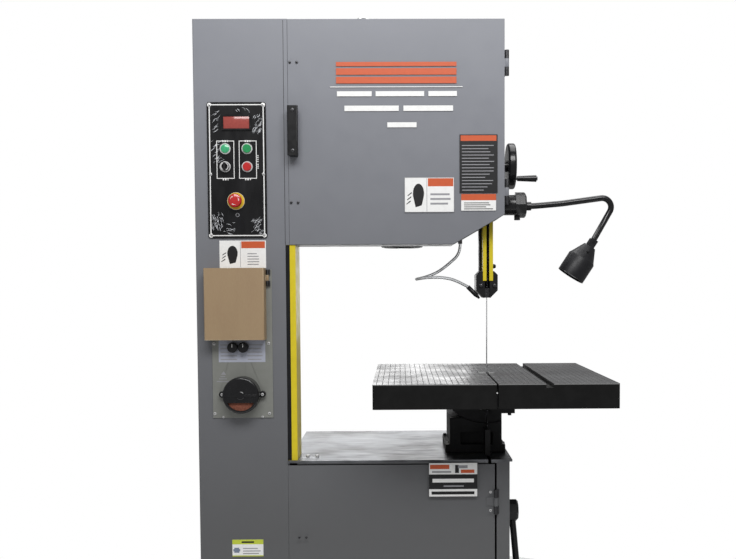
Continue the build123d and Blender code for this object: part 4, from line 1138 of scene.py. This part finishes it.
def knob_mark(name, node):
    """Pointer line across a knob's face, and the ribs of its grip."""
    low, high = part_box(node)
    x, z = (low.x + high.x) / 2, (low.z + high.z) / 2
    bm = bmesh.new()
    add_box(bm, (x - 0.7 * MM, low.y - 0.3 * MM, z + 1 * MM),
            (x + 0.7 * MM, low.y + 0.5 * MM, z + 10 * MM), 0.2 * MM)
    flat_piece(bm, name, node, INK_WHITE)
    grip = bmesh.new()
    ribs, half = 18, 0.8 * MM
    for k in range(ribs):
        a = 2 * math.pi * k / ribs
        out = Vector((math.cos(a), 0, math.sin(a)))
        centre = Vector((x, 0, z)) + out * ((high.x - low.x) / 2 - 0.4 * MM)
        add_box(grip, (centre.x - half, low.y + 3 * MM, centre.z - half),
                (centre.x + half, low.y + 17 * MM, centre.z + half), 0.2 * MM)
    flat_piece(grip, name + "_grip", node, BLACK)


knob_mark("heat_mark", "weld_heat_knob")
knob_mark("pressure_mark", "weld_pressure_knob")


def grinder_details():
    """Ridge and hub of the grinder's guard, the pins below it and the symbol above it."""
    low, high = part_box("grinder_guard")
    x, z = (low.x + high.x) / 2, (low.z + high.z) / 2
    bm = bmesh.new()
    add_box(bm, (x - 43 * MM, low.y - 2.5 * MM, z - 3 * MM),
            (x + 43 * MM, low.y + 1 * MM, z + 3 * MM), 1.2 * MM)
    add_lathe(bm, (x, low.y + 1 * MM, z), FRONT, in_mm((11, 0), (11, 3), (9, 4.2), (0, 4.2)), 32)
    piece_of(bm, "grinder_guard_ridge", "frame", GLOSS_BLACK)
    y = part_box("control_panel")[0].y
    screw_group("faceplate_pins", "frame", grid((-0.3435, -0.2405), (y,), (0.8755,)), FRONT, 3, 2)
    icon = bmesh.new()
    face, icon_x = y - 0.3 * MM, -0.3435
    add_box(icon, (icon_x - 0.016, face, 0.968), (icon_x + 0.016, y, 0.9705))
    for k, width in enumerate((20, 12)):
        add_box(icon, (icon_x - width / 2 * MM, face, 0.975 + k * 6 * MM),
                (icon_x + width / 2 * MM, y, 0.9775 + k * 6 * MM))
    add_prism(icon, in_mm((-7, 0), (7, 0), (0, 9)), (-0.3415, face, 0.987), X, Z, Y * 0.3 * MM)
    flat_piece(icon, "grinder_symbol", "frame", INK_GREY)


grinder_details()


# ------------------------------ floor and light

FLOOR_RADIUS = 1.6


def area_light(name, place, target, size, power):
    data = bpy.data.lights.new(name, "AREA")
    data.shape = "RECTANGLE"
    data.size, data.size_y = size
    data.energy = power
    light = bpy.data.objects.new(name, data)
    light.location = place
    light.rotation_euler = (Vector(target) - Vector(place)).to_track_quat("-Z", "Y").to_euler()
    bpy.context.scene.collection.objects.link(light)


def studio():
    """White surround seen by the camera, dimmer surround and soft boxes for the machine."""
    scene = bpy.context.scene
    scene.view_settings.view_transform = "Standard"
    scene.view_settings.look = "None"
    world = bpy.data.worlds.new("studio")
    scene.world = world
    world.use_nodes = True
    tree = world.node_tree
    background = tree.nodes["Background"]
    background.inputs["Color"].default_value = (1.0, 1.0, 1.0, 1)
    ray = tree.nodes.new("ShaderNodeLightPath")
    level = tree.nodes.new("ShaderNodeMapRange")
    level.inputs["To Min"].default_value = 0.30
    level.inputs["To Max"].default_value = 1.0
    tree.links.new(ray.outputs["Is Camera Ray"], level.inputs["Value"])
    tree.links.new(level.outputs["Result"], background.inputs["Strength"])
    bm = bmesh.new()
    bmesh.ops.create_circle(bm, cap_ends=True, segments=96, radius=FLOOR_RADIUS)
    floor = flat_piece(bm, "studio_floor", None, FLOOR_PAINT)
    floor.location.z = -0.5 * MM
    area_light("key", (0.3, -2.3, 3.1), (0.1, 0, 1.75), (2.4, 1.0), 64)
    area_light("top", (0.3, 0.6, 4.2), (0.3, 0.2, 0), (3.4, 3.0), 90)
    area_light("rear_panel", (-0.2, 3.1, 1.35), (0.1, 0, 1.15), (1.5, 0.9), 9)


studio()
